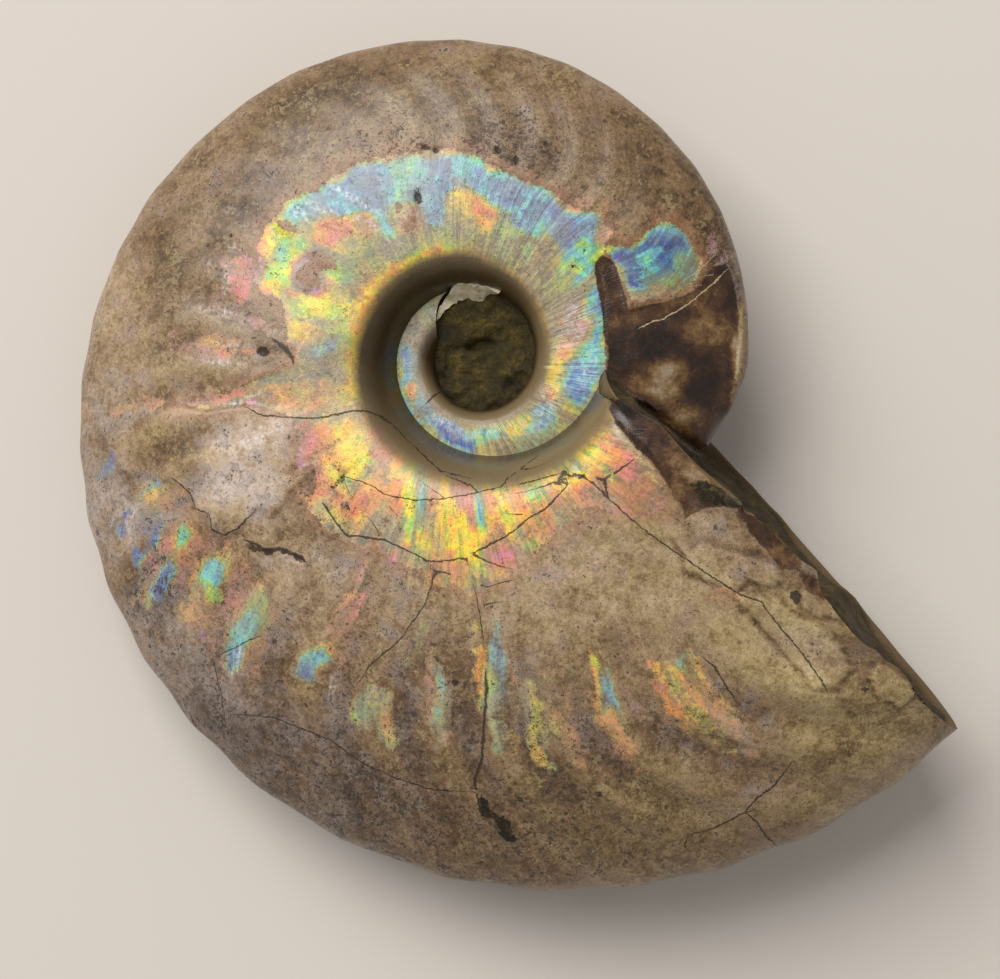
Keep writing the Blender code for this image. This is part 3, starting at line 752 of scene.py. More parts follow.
def plain_fields(points, span, angle):
    """What the shell has where no picture shows it, as on the underside and in the hollow."""
    broad, fine = noise("broad", points), noise("fine", points)
    width = back_radius(angle) - seam_radius(angle)
    ring = np.minimum(span - 0.05, 0.42 + 0.08 * broad - span) * width
    crest = np.cos(RIBS_PER_TURN * (angle - sweep(span)) - np.interp(angle, RIB_LAG_AT, RIB_LAG))
    crests = 1.8 * (0.55 * crest + 1.3 * fine + 0.5 * broad - 1.15 - 2.0 * smooth(0.75, 0.95, span))
    fields = {name: np.full(span.shape, value) for name, value in UNSEEN.items()}
    return fields | {
        "pearl": ring,
        "hue": 0.45 + 0.3 * np.sin(2 * angle + 6 * span) + 0.35 * fine,
        "vivid": np.clip(0.5 + 0.5 * broad, 0.1, 0.95),
        "pale": 0.5 + 0.18 * broad,
        "spots": 0.5 + 0.5 * noise("spotty", points),
        "red": 0.5 + 0.4 * noise("ruddy", points),
        "sheen": smooth(-0.6, 0.8, crests),
    }


def pictured_fields(pixels, wander, bend):
    """What the upper flank shows, drawn from the outlines and dabs above, some of them bent."""
    drawn = {name: np.full(len(pixels), value) for name, value in UNDRAWN.items()}
    for x, y, long, wide, turn, hue, vivid in HUES:
        inside = dab_distance(pixels + bend, x, y, long, wide, turn) + WANDER["hue"] * wander
        share = smooth(-1.0, 1.0, inside / (0.25 + SOFT["hue"] * min(long, wide) / PIXELS_PER_MM))
        jump = 4 * share * (1 - share) * np.abs(hue - drawn["hue"])
        drawn["hue"] += (hue - drawn["hue"]) * share
        drawn["vivid"] += (vivid - drawn["vivid"]) * share
        drawn["vivid"] *= 1 - np.clip(2.2 * jump, 0.0, 0.7)
    for x, y, long, wide, turn, pale, spots, red in SHELL_TONES:
        inside = dab_distance(pixels, x, y, long, wide, turn) + WANDER["tone"] * wander
        soft = SOFT["tone"] * min(long, wide) / PIXELS_PER_MM
        for name, value in (("pale", pale), ("spots", spots), ("red", red)):
            paint(drawn[name], inside, value, soft)
    # Painted highlights where the polish catches the window
    for x, y, long, wide, turn in PAINTED_GLEAMS:
        inside = dab_distance(pixels, x, y, long, wide, turn)
        paint(drawn["painted_gleam"], inside, 1.0, SOFT["painted_gleam"] * wide / PIXELS_PER_MM)
    # The pearl's own tone, with painted shade and painted light on it
    for x, y, long, wide, turn, share in PEARL_TONE_AND_PAINTED_SHADING:
        inside = dab_distance(pixels + bend, x, y, long, wide, turn)
        paint(drawn["pearl_tone_and_painted_shading"], inside, share, SOFT["pearl_tone_and_painted_shading"] * min(long, wide) / PIXELS_PER_MM)
    pearl = np.maximum(
        outline_distance(pixels, PEARL_AROUND_THE_HOLLOW), outline_distance(pixels, PEARL_BESIDE_THE_BAR)
    )
    drawn["sheen"] = np.zeros(len(pixels))
    for x, y, long, wide, turn in PEARL_ON_THE_RIBS:
        inside = dab_distance(pixels + bend, x, y, 1.25 * long, 1.5 * wide, turn) + WANDER["sheen"] * wander
        drawn["sheen"] = np.maximum(drawn["sheen"], smooth(-0.35, 0.1 * min(long, wide), inside))
    for x, y, long, wide, turn, share in PEARL_HAZE:
        inside = dab_distance(pixels + bend, x, y, long, wide, turn) + WANDER["sheen"] * wander
        haze = share * smooth(-0.4, SOFT["haze"] * min(long, wide) / PIXELS_PER_MM, inside)
        drawn["sheen"] = np.maximum(drawn["sheen"], haze)
    covered = dabs_distance(pixels + bend, PEARL_COVERED, WANDER["covered"] * wander)
    pearl = np.minimum(pearl, -covered)
    drawn["wedge"] = outline_distance(pixels, WEDGE)
    calcite = np.maximum(outline_distance(pixels, CALCITE_FIELD), outline_distance(pixels, CALCITE_BAR))
    calcite = np.maximum(calcite, drawn["wedge"])
    calcite = np.maximum(calcite, dabs_distance(pixels, RUST_EDGE, WANDER["calcite"] * wander))
    moss = dabs_distance(pixels, MOSS, WANDER["moss"] * wander)
    hole = dabs_distance(pixels, HOLES, 0.0)
    for x, y, long, wide, turn, pale in CALCITE_TONES:
        inside = dab_distance(pixels + bend, x, y, long, wide, turn) + WANDER["calcite"] * wander
        inside = np.minimum(inside, calcite + 0.3)
        paint(drawn["pale"], inside, pale, 0.1 + SOFT["calcite"] * min(long, wide) / PIXELS_PER_MM)
    for name, field in (("pearl", pearl), ("calcite", calcite), ("moss", moss), ("hole", hole)):
        drawn[name] = np.clip(field, -FIELD_REACH, FIELD_REACH)
    drawn["crack"], drawn["crack_width"] = line_field(pixels, CRACKS)
    drawn["vein"], drawn["vein_width"] = line_field(pixels, VEINS)
    drawn["plate"] = outline_distance(pixels, PLATE) + WANDER["plate"] * wander
    # The plate is pale, with a darker band all around it painted as the shadow of its raised edge; the lumps
    # are pale, with a darker band around them
    drawn["pale"] += 0.17 * smooth(-0.15, 0.15, drawn["plate"]) - 0.14 * smooth(-2.2, -0.1, drawn["plate"])
    lumps = [outline_distance(pixels + 0.5 * bend, outline) for outline in LUMPS_BY_THE_BREAK]
    drawn["lumps"] = np.max(lumps, axis=0) + WANDER["lumps"] * wander
    drawn["pale"] += 0.36 * smooth(-0.1, 0.1, drawn["lumps"]) - 0.28 * smooth(-0.8, -0.1, drawn["lumps"])
    return drawn


def paint_hollow_wall(fields, points, span):
    """The steep wall of the hollow has a plain skin: painted shade above and on the left, paler below, and
    darker at the seam.
    """
    degrees = np.degrees(np.arctan2(points[..., 1], points[..., 0])) % 360
    first_turn = np.arange(span.shape[1]) < ROWS
    wide = np.interp(degrees, WALL_HEADINGS, WALL_WIDTHS)
    wide = np.where(first_turn, np.interp(degrees, *FIRST_WIDTHS), wide)
    painted_wall_shade = np.interp(degrees, WALL_HEADINGS, WALL_PAINTED_SHADE)
    painted_wall_shade = np.where(first_turn, np.interp(degrees, *FIRST_WALL_PAINTED_SHADE), painted_wall_shade)
    fields["wall"] = smooth(1.35, 0.75, span / wide)
    fields["streak"] = np.interp(degrees, *STREAKS_SHOW)
    # Darker right at the seam, added to the wall's painted shade
    seam_darkening = smooth(0.028, 0.006, span)
    fields["painted_wall_shade"] = painted_wall_shade + (1 - painted_wall_shade) * seam_darkening
    gold = smooth(0.3, 0.05, np.abs(span / wide - 1.15)) * np.interp(degrees, *GOLD_EDGE)
    gold = np.where(first_turn, 0.0, gold)
    fields["hue"] += (0.7 - 0.09 * span / wide - fields["hue"]) * gold
    fields["vivid"] += (1.0 - fields["vivid"]) * gold


def pictured_relief(drawn):
    """How far the drawn places stand up or lie in, in millimetres."""
    return sum(height * smooth(low, high, drawn[name]) for name, (height, low, high) in RELIEF.items())


def outward(points):
    """The outward direction at each place of the grid."""
    normal = np.cross(np.gradient(points, axis=1), np.gradient(points, axis=0))
    normal /= np.maximum(np.linalg.norm(normal, axis=-1, keepdims=True), 1e-9)
    return normal * np.sign(normal[UPPER_COLUMNS // 2, ROWS:LAST_ROW, 2].mean())


def lay_rows():
    """The shell over two turns, as columns by rows, with each place's span and angle."""
    spans, sides = column_spans()
    angles = row_angles()
    shape = (len(spans), len(angles))
    span = np.broadcast_to(spans[:, None], shape).copy()
    side = np.broadcast_to(sides[:, None], shape)
    angle = np.broadcast_to(angles, shape)
    edge = COVER * (1 - smooth(BURIED_FROM, BURIED_TO, angles))
    at_seam = spans <= COVER * 1.0001
    innermost = at_seam[:, None] & (np.arange(len(angles)) < ROWS)
    span = np.where(innermost, edge + (COVER - edge) * span / COVER, span)
    near_last = 1 - smooth(0.0, BREAK_REACH, END_ANGLE - angles)
    near_under = 1 - smooth(0.0, BREAK_REACH, np.abs(START_ANGLE - angles))
    last = break_shift(np.full(len(spans), END_ANGLE), spans, sides)
    under = break_shift(np.full(len(spans), START_ANGLE), np.maximum(spans, COVER), sides)
    under = under * np.minimum(spans / COVER, 1.0)
    bent = angle + sweep(span) * (1 - near_last) * (1 - near_under)
    bent = bent + last[:, None] * near_last + under[:, None] * near_under
    return surface(bent, span, side), span, bent


def push_edge(points):
    """Brings the upper flank's ragged edge out to where it breaks off."""
    edge = points[:UPPER_COLUMNS + 1, LAST_ROW]
    height = to_pixels(lay_down(edge))[:, 1]
    reach = np.interp(height, EDGE_AT, EDGE_REACH) * (1 + 0.4 * noise("edge", edge))
    near = slice(ROWS + ROWS // 2, LAST_ROW + 1)
    behind = (BREAK_POINT - points[:UPPER_COLUMNS + 1, near]) @ BREAK_NORMAL
    share = smooth(EDGE_STRETCH, 0.0, behind)
    points[:UPPER_COLUMNS + 1, near] += (reach[:, None] * share)[..., None] * BREAK_NORMAL


def weld_seams(points):
    """Lays each turn's own seam on the flank of the turn that it covers."""
    points[0, ROWS:] = points[SEAM_COLUMNS, :ROWS + 1]
    points[-1, ROWS:] = points[-1 - SEAM_COLUMNS, :ROWS + 1]


def broken_rows(points):
    """The broken end: rows from the shell's edge in to the covered whorl, rough and let in."""
    columns = np.clip(np.arange(GRID_COLUMNS + 1), SEAM_COLUMNS, GRID_COLUMNS - SEAM_COLUMNS)
    edge, covered = points[:, -1], points[columns, ROWS]
    share = (np.arange(1, BREAK_ROWS + 1) / BREAK_ROWS) ** BREAK_CROWDING
    rows = edge[:, None] + (covered - edge)[:, None] * share[:, None]
    width = np.linalg.norm(covered - edge, axis=-1)[:, None]
    inset = share * width
    depth = 0.7 * smooth(0.0, 1.2, inset) + 0.8 * noise("break", rows) + 0.2 * noise("crumbs", rows)
    depth = depth * smooth(0.0, 1.0, inset) * smooth(0.0, 1.0, width - inset)
    return rows - BREAK_NORMAL * depth[..., None], inset


def shell_fields():
    """Places of the whole grid in the coil's own frame, and every field on it."""
    points, span, angle = lay_rows()
    fields = plain_fields(points, span, angle)
    wander = noise("wander", points) + 0.8 * noise("fret", points)
    relief = 0.11 * noise("swell", points) + 0.04 * noise("ripple", points)
    upper = slice(0, UPPER_COLUMNS + 1)
    shape = span[upper].shape
    edged = points.copy()
    push_edge(edged)
    pixels = to_pixels(lay_down(edged[upper])).reshape(-1, 2)
    bend = [noise(name, points[upper]).ravel() for name in ("bend_x", "bend_y")]
    bend = BEND * PIXELS_PER_MM * np.stack(bend, axis=-1)
    drawn = pictured_fields(pixels, wander[upper].ravel(), bend)
    relief[upper] += pictured_relief(drawn).reshape(shape)
    under_share = smooth(0.8, 1.0, span[UPPER_COLUMNS + 1:])
    for name in [name for name in fields if name in drawn]:
        fields[name][upper] = drawn[name].reshape(shape)
        at_back = fields[name][UPPER_COLUMNS]
        below = fields[name][UPPER_COLUMNS + 1:]
        below += (at_back - below) * under_share
    # Painted light on the rib crests and painted shade in the troughs, with less purple and fewer spots on
    # the crests
    crest = rib(angle, span) / RIB_HEIGHT * smooth(0.86, 0.66, span)
    for name, share in CREST_PAINTED_SHADING_AND_TONE.items():
        fields[name] += share * crest
    paint_hollow_wall(fields, points, span)
    points += outward(points) * relief[..., None]
    push_edge(points)
    weld_seams(points)
    rows, inset = broken_rows(points)
    for name in fields:
        last = fields[name][:, -1:]
        fields[name] = np.concatenate([fields[name], np.repeat(last, BREAK_ROWS, axis=1)], axis=1)
    fields["inset"] = np.concatenate([np.zeros(span.shape), inset], axis=1)
    last = np.repeat(angle[:, -1:], BREAK_ROWS, axis=1)
    fields["along"] = np.concatenate([angle - sweep(span), last], axis=1)
    points = np.concatenate([points, rows], axis=1)
    fields["across"] = np.hypot(points[..., 0], points[..., 1])
    return points, fields


# The mesh

# Which of the shell's three materials a face has
SHELL_SLOT, STONE_SLOT, CORE_SLOT = range(3)
# Corners this close are one, and edges this short are taken out, in millimetres
SAME_PLACE = 0.0008
NO_LENGTH = 0.0005
# Edges bent by more than this stay sharp
SHELL_CREASE = math.radians(50)
FLAKE_CREASE = math.radians(45)


def flat_grid():
    """A flat grid as a mesh, and the whole-number column and row of each of its corners."""
    grid = bmesh.new()
    bmesh.ops.create_grid(grid, x_segments=GRID_ROWS, y_segments=GRID_COLUMNS, size=1.0)
    mesh = bpy.data.meshes.new("ammonite_shell")
    grid.to_mesh(mesh)
    grid.free()
    flat = np.empty(len(mesh.vertices) * 3)
    mesh.vertices.foreach_get("co", flat)
    row = np.rint((flat[0::3] + 1) / 2 * GRID_ROWS).astype(int)
    column = np.rint((flat[1::3] + 1) / 2 * GRID_COLUMNS).astype(int)
    return mesh, column, row


def write_fields(mesh, fields, column, row):
    """Each field as an attribute of the face corners, so that it stays crisp along the seam."""
    corner = np.empty(len(mesh.loops), dtype=np.int32)
    mesh.loops.foreach_get("vertex_index", corner)
    place = column[corner], row[corner]
    for name, field in fields.items():
        if name not in ("along", "across"):
            layer = mesh.attributes.new(name, "FLOAT", "CORNER")
            layer.data.foreach_set("value", field[place].astype(np.float32))
    coil_map = mesh.uv_layers.new(name="coil")
    both = np.stack([fields["along"][place], fields["across"][place]], axis=-1)
    coil_map.data.foreach_set("uv", both.astype(np.float32).ravel())
    faces = corner.reshape(-1, 4)
    broken = row[faces].min(axis=1) >= LAST_ROW
    mesh.polygons.foreach_set("material_index", np.where(broken, CORE_SLOT, SHELL_SLOT).astype(np.int32))


def open_loops(shell):
    """The open edges, as a list of separate loops, in the same order each run."""
    left = dict.fromkeys(edge for edge in shell.edges if edge.is_boundary)
    loops = []
    while left:
        first = next(iter(left))
        del left[first]
        loop, waiting = [], [first]
        while waiting:
            edge = waiting.pop()
            loop.append(edge)
            joined = dict.fromkeys(e for vert in edge.verts for e in vert.link_edges if e in left)
            for other in joined:
                del left[other]
            waiting.extend(joined)
        loops.append(loop)
    return loops


def close_hollow(shell, loop):
    """Closes the middle under the filling: the edge is drawn down, then filled flat."""
    side = 1 if loop[0].verts[0].co.z > 0 else -1
    made = bmesh.ops.extrude_edge_only(shell, edges=loop)["geom"]
    for vert in (item for item in made if isinstance(item, bmesh.types.BMVert)):
        vert.co.z = side * HOLLOW_FLOOR
    rim = [item for item in made if isinstance(item, bmesh.types.BMEdge) and item.is_boundary]
    floor = bmesh.ops.holes_fill(shell, edges=rim, sides=0)["faces"]
    for face in floor + [item for item in made if isinstance(item, bmesh.types.BMFace)]:
        face.material_index = STONE_SLOT


def shell_mesh():
    """The shell as one closed mesh: the grid laid on the coil, welded at its seams and closed."""
    mesh, column, row = flat_grid()
    points, fields = shell_fields()
    mesh.vertices.foreach_set("co", points[column, row].ravel())
    write_fields(mesh, fields, column, row)
    shell = bmesh.new()
    shell.from_mesh(mesh)
    shell.verts.ensure_lookup_table()
    covered = (row < ROWS) & (column > SEAM_COLUMNS) & (column < GRID_COLUMNS - SEAM_COLUMNS)
    hidden = [shell.verts[int(index)] for index in np.flatnonzero(covered)]
    bmesh.ops.delete(shell, geom=hidden, context="VERTS")
    bmesh.ops.remove_doubles(shell, verts=shell.verts, dist=SAME_PLACE)
    bmesh.ops.dissolve_degenerate(shell, edges=shell.edges, dist=NO_LENGTH)
    for loop in open_loops(shell):
        close_hollow(shell, loop)
    bmesh.ops.recalc_face_normals(shell, faces=shell.faces)
    shell.to_mesh(mesh)
    shell.free()
    places = np.empty(len(mesh.vertices) * 3)
    mesh.vertices.foreach_get("co", places)
    places = lay_down(places.reshape(-1, 3))
    places[:, 2] = np.maximum(places[:, 2], 0.0)
    mesh.vertices.foreach_set("co", (places * MM).ravel())
    mesh.update()
    mesh.shade_smooth()
    mesh.set_sharp_from_angle(angle=SHELL_CREASE)
    return mesh


def filling_mesh():
    """The stone that fills the middle: one lumpy pebble, wider than the hollow, with a slit above."""
    pebble = bmesh.new()
    bmesh.ops.create_icosphere(pebble, subdivisions=6, radius=1.0)
    mesh = bpy.data.meshes.new("mossy_filling")
    pebble.to_mesh(mesh)
    pebble.free()
    ball = np.empty(len(mesh.vertices) * 3)
    mesh.vertices.foreach_get("co", ball)
    ball = ball.reshape(-1, 3)
    reach = np.hypot(ball[:, 0], ball[:, 1])
    flat = ball * (FILL_REACH, FILL_REACH, 0.0) + (FILL_CENTRE[0], FILL_CENTRE[1], 0.0)
    lumps = 0.55 * noise("pebble", flat) + 0.28 * noise("grit", flat)
    tilt = FILL_TILT * (flat[:, 1] - FILL_CENTRE[1])
    level = (FILL_HEIGHT + tilt + lumps) * np.maximum(1 - reach**8, 0.0) ** 0.5
    flat[:, 2] = np.sign(ball[:, 2]) * level
    laid = lay_down(flat)
    slit = smooth(-0.2, 0.5, dab_distance(to_pixels(laid), *SLIT) + 0.2 * noise("slit", flat))
    laid[:, 2] -= np.where(ball[:, 2] > 0, SLIT_DEPTH * slit, 0.0)
    mesh.vertices.foreach_set("co", (laid * MM).ravel())
    mesh.update()
    mesh.shade_smooth()
    return mesh


def flake_mesh():
    """A torn flake of the inner whorl's shell, which leans from the filling on to the wall."""
    flake = bmesh.new()
    bmesh.ops.create_grid(flake, x_segments=60, y_segments=8, size=1.0)
    line = np.array(FLAKE, float)
    places = range(len(FLAKE))
    for vert in flake.verts:
        along = (vert.co.x + 1) / 2 * (len(FLAKE) - 1)
        x, y, wide = (np.interp(along, places, line[:, part]) for part in range(3))
        run = [np.interp(along + 0.5, places, line[:, part]) - at for part, at in ((0, x), (1, y))]
        edge = np.array([along * 1.4, 3.0 * np.sign(vert.co.y), 5.0])
        torn = 1 + 0.5 * float(noise("tear", edge))
        aside = vert.co.y * wide * torn / max(math.hypot(*run), 1e-6)
        leaning = float(smooth(*FLAKE_LEANS, along)) * (1 - vert.co.y)
        rough = float(noise("flake", np.array([along * 0.9, vert.co.y, 9.0])))
        level = FLAKE_LEVEL + FLAKE_RISE * leaning + 0.2 * rough
        vert.co = mathutils.Vector(from_pixel(x - run[1] * aside, y + run[0] * aside, level)) * MM
    bmesh.ops.recalc_face_normals(flake, faces=flake.faces)
    bmesh.ops.solidify(flake, geom=flake.faces[:], thickness=FLAKE_THICKNESS * MM)
    bmesh.ops.recalc_face_normals(flake, faces=flake.faces)
    mesh = bpy.data.meshes.new("shell_flake")
    flake.to_mesh(mesh)
    flake.free()
    mesh.shade_smooth()
    mesh.set_sharp_from_angle(angle=FLAKE_CREASE)
    return mesh


# Materials

def linear(code):
    """A colour written as sRGB hex, as the linear values that Blender takes."""
    parts = [int(code[place:place + 2], 16) / 255 for place in (1, 3, 5)]
    return tuple(p / 12.92 if p <= 0.04045 else ((p + 0.055) / 1.055) ** 2.4 for p in parts) + (1.0,)


def add(tree, kind, sockets=(), stops=(), out=0, **settings):
    """Adds one node with its settings and links, and gives back one of its outputs."""
    node = tree.nodes.new("ShaderNode" + kind)
    for name, value in settings.items():
        setattr(node, name, value)
    for key, value in sockets.items() if isinstance(sockets, dict) else enumerate(sockets):
        if isinstance(value, bpy.types.NodeSocket):
            tree.links.new(value, node.inputs[key])
        else:
            node.inputs[key].default_value = value
    for place, (position, code) in enumerate(stops):
        ramp = node.color_ramp.elements
        stop = ramp[place] if place < 2 else ramp.new(position)
        stop.position = position
        stop.color = linear(code)
    return node.outputs[out]


def new_material(name):
    """A new material with its tree and its one shader."""
    material = bpy.data.materials.new(name)
    material.use_nodes = True
    return material, material.node_tree, material.node_tree.nodes["Principled BSDF"]


# Settings that come back often
SMOOTH = {"interpolation_type": "SMOOTHSTEP"}
COLOUR = {"data_type": "RGBA", "out": 2}

# Noise lies mostly between 0.25 and 0.75 and a random value between 0 and 1: these take both to -1 and 1
STRETCH_NOISE = (4.0, -2.0)
STRETCH_RANDOM = (2.0, -1.0)
# Noise in the shell: lumps to the millimetre, detail, roughness, and a shift that sets it apart
SHELL_NOISE = {
    "clouds": (0.12, 4.0, 0.6, 0.0),
    "mottle": (0.4, 4.0, 0.65, 17.0),
    "ragged": (0.9, 4.0, 0.7, 71.0),
    "wiggle": (1.3, 3.0, 0.7, 7.0),
    "blots": (1.5, 4.0, 0.7, 91.0),
    "grain": (2.2, 3.0, 0.65, 43.0),
    "dust": (4.2, 2.0, 0.6, 57.0),
}
# Growth lines: noise drawn out along the ribs, so many to a radian of the coil and to a millimetre
STREAKS = {"bands": (11.0, 0.05), "growth": (30.0, 0.16), "lines": (90.0, 0.3)}
# Torn patches of pearl, so many to the millimetre, and how far their edges are bent, in millimetres
PATCHES = {"plates": 0.3, "chips": 0.85}
PATCH_BEND = (4.0, 4.0, 4.0)
# The fields that the shell's material reads from the mesh
SHELL_FIELDS = (
    "pearl", "hue", "vivid", "calcite", "moss", "pale", "spots", "red", "sheen", "wall", "painted_wall_shade", "streak",
    "hole", "crack", "crack_width", "vein", "vein_width", "painted_gleam", "pearl_tone_and_painted_shading",
)

# Thin layers of aragonite turn from violet through blue, green and gold to rose as they thicken
PEARL_BAND = [
    (0.0, "#6a5a98"), (0.08, "#44549a"), (0.18, "#5582b2"), (0.28, "#6ebcc4"), (0.38, "#74cc92"),
    (0.48, "#accb3e"), (0.58, "#ecca40"), (0.68, "#e4984c"), (0.79, "#cc7a5c"), (0.9, "#e07486"),
    (1.0, "#b482ba"),
]
# Aged outer shell: brown where thin over the stone, cream where chalky
SHELL_BAND = [
    (0.0, "#281c10"), (0.2, "#4e3d2a"), (0.4, "#76634c"), (0.55, "#92826a"), (0.72, "#b0a38c"),
    (0.95, "#d4cab6"),
]
CALCITE_BAND = [(0.0, "#140b05"), (0.25, "#2c180a"), (0.5, "#4e321a"), (0.75, "#7c5f38"), (1.0, "#a49278")]
MOSS_BAND = [(0.0, "#0e0a03"), (0.35, "#241d08"), (0.6, "#40350f"), (0.8, "#64551e"), (1.0, "#8c7a34")]
# The broken core: its own dark stone, darkened further as painted shade where the break faces away from the
# light
CORE_BAND_WITH_PAINTED_SHADE = [(0.0, "#161208"), (0.4, "#2e2612"), (0.65, "#4e3f22"), (1.0, "#7e6a44")]
RIM_COLOUR = "#6c5a3e"
CRACK_COLOUR = "#2a2016"
VEIN_COLOUR = "#bcaa82"
FLAKE_BAND = [(0.3, "#8a7a54"), (0.4, "#d8ccaa"), (0.55, "#f2e8cc"), (0.75, "#faf4e4")]
PIT_COLOUR = "#32271a"
PEARL_GREY = "#9c9078"
PEARL_COOL_GREY = "#8f989f"
# Colour of the wall's painted shade, and of the darker seam
WALL_PAINTED_SHADE_COLOUR = "#33240b"
WALL_PALE = "#8c7a5a"
WALL_STREAK = "#6e5c38"
WALL_GOLD = "#8c6420"
GLOW_COLOUR = "#b87e58"
BROWN_PATCH = "#6b5134"
CHALKY_PATCH = "#c4b8a4"
STAIN_COLOUR = "#5a4630"
# The colour of the painted highlights
PAINTED_GLEAM_COLOUR = "#f2eef4"
OLIVE_CAST = "#faecba"
ROSE_CAST = "#f6dcdc"
CARD_COLOUR = "#dbd5cf"
WINDOW_COLOUR = "#fffaf4"
ROOM_COLOUR = "#faf7f2"
ROOM_STRENGTH = 0.36


def total(tree, start, *parts):
    """A value with a share of each of some others added to it."""
    for part, share in parts:
        start = add(tree, "Math", [part, share, start], operation="MULTIPLY_ADD")
    return start


def overlaid(tree, colour, *layers):
    """A colour with others laid over it in turn, each with its own share."""
    for share, over in layers:
        colour = add(tree, "Mix", {0: share, 6: colour, 7: over}, **COLOUR)
    return colour


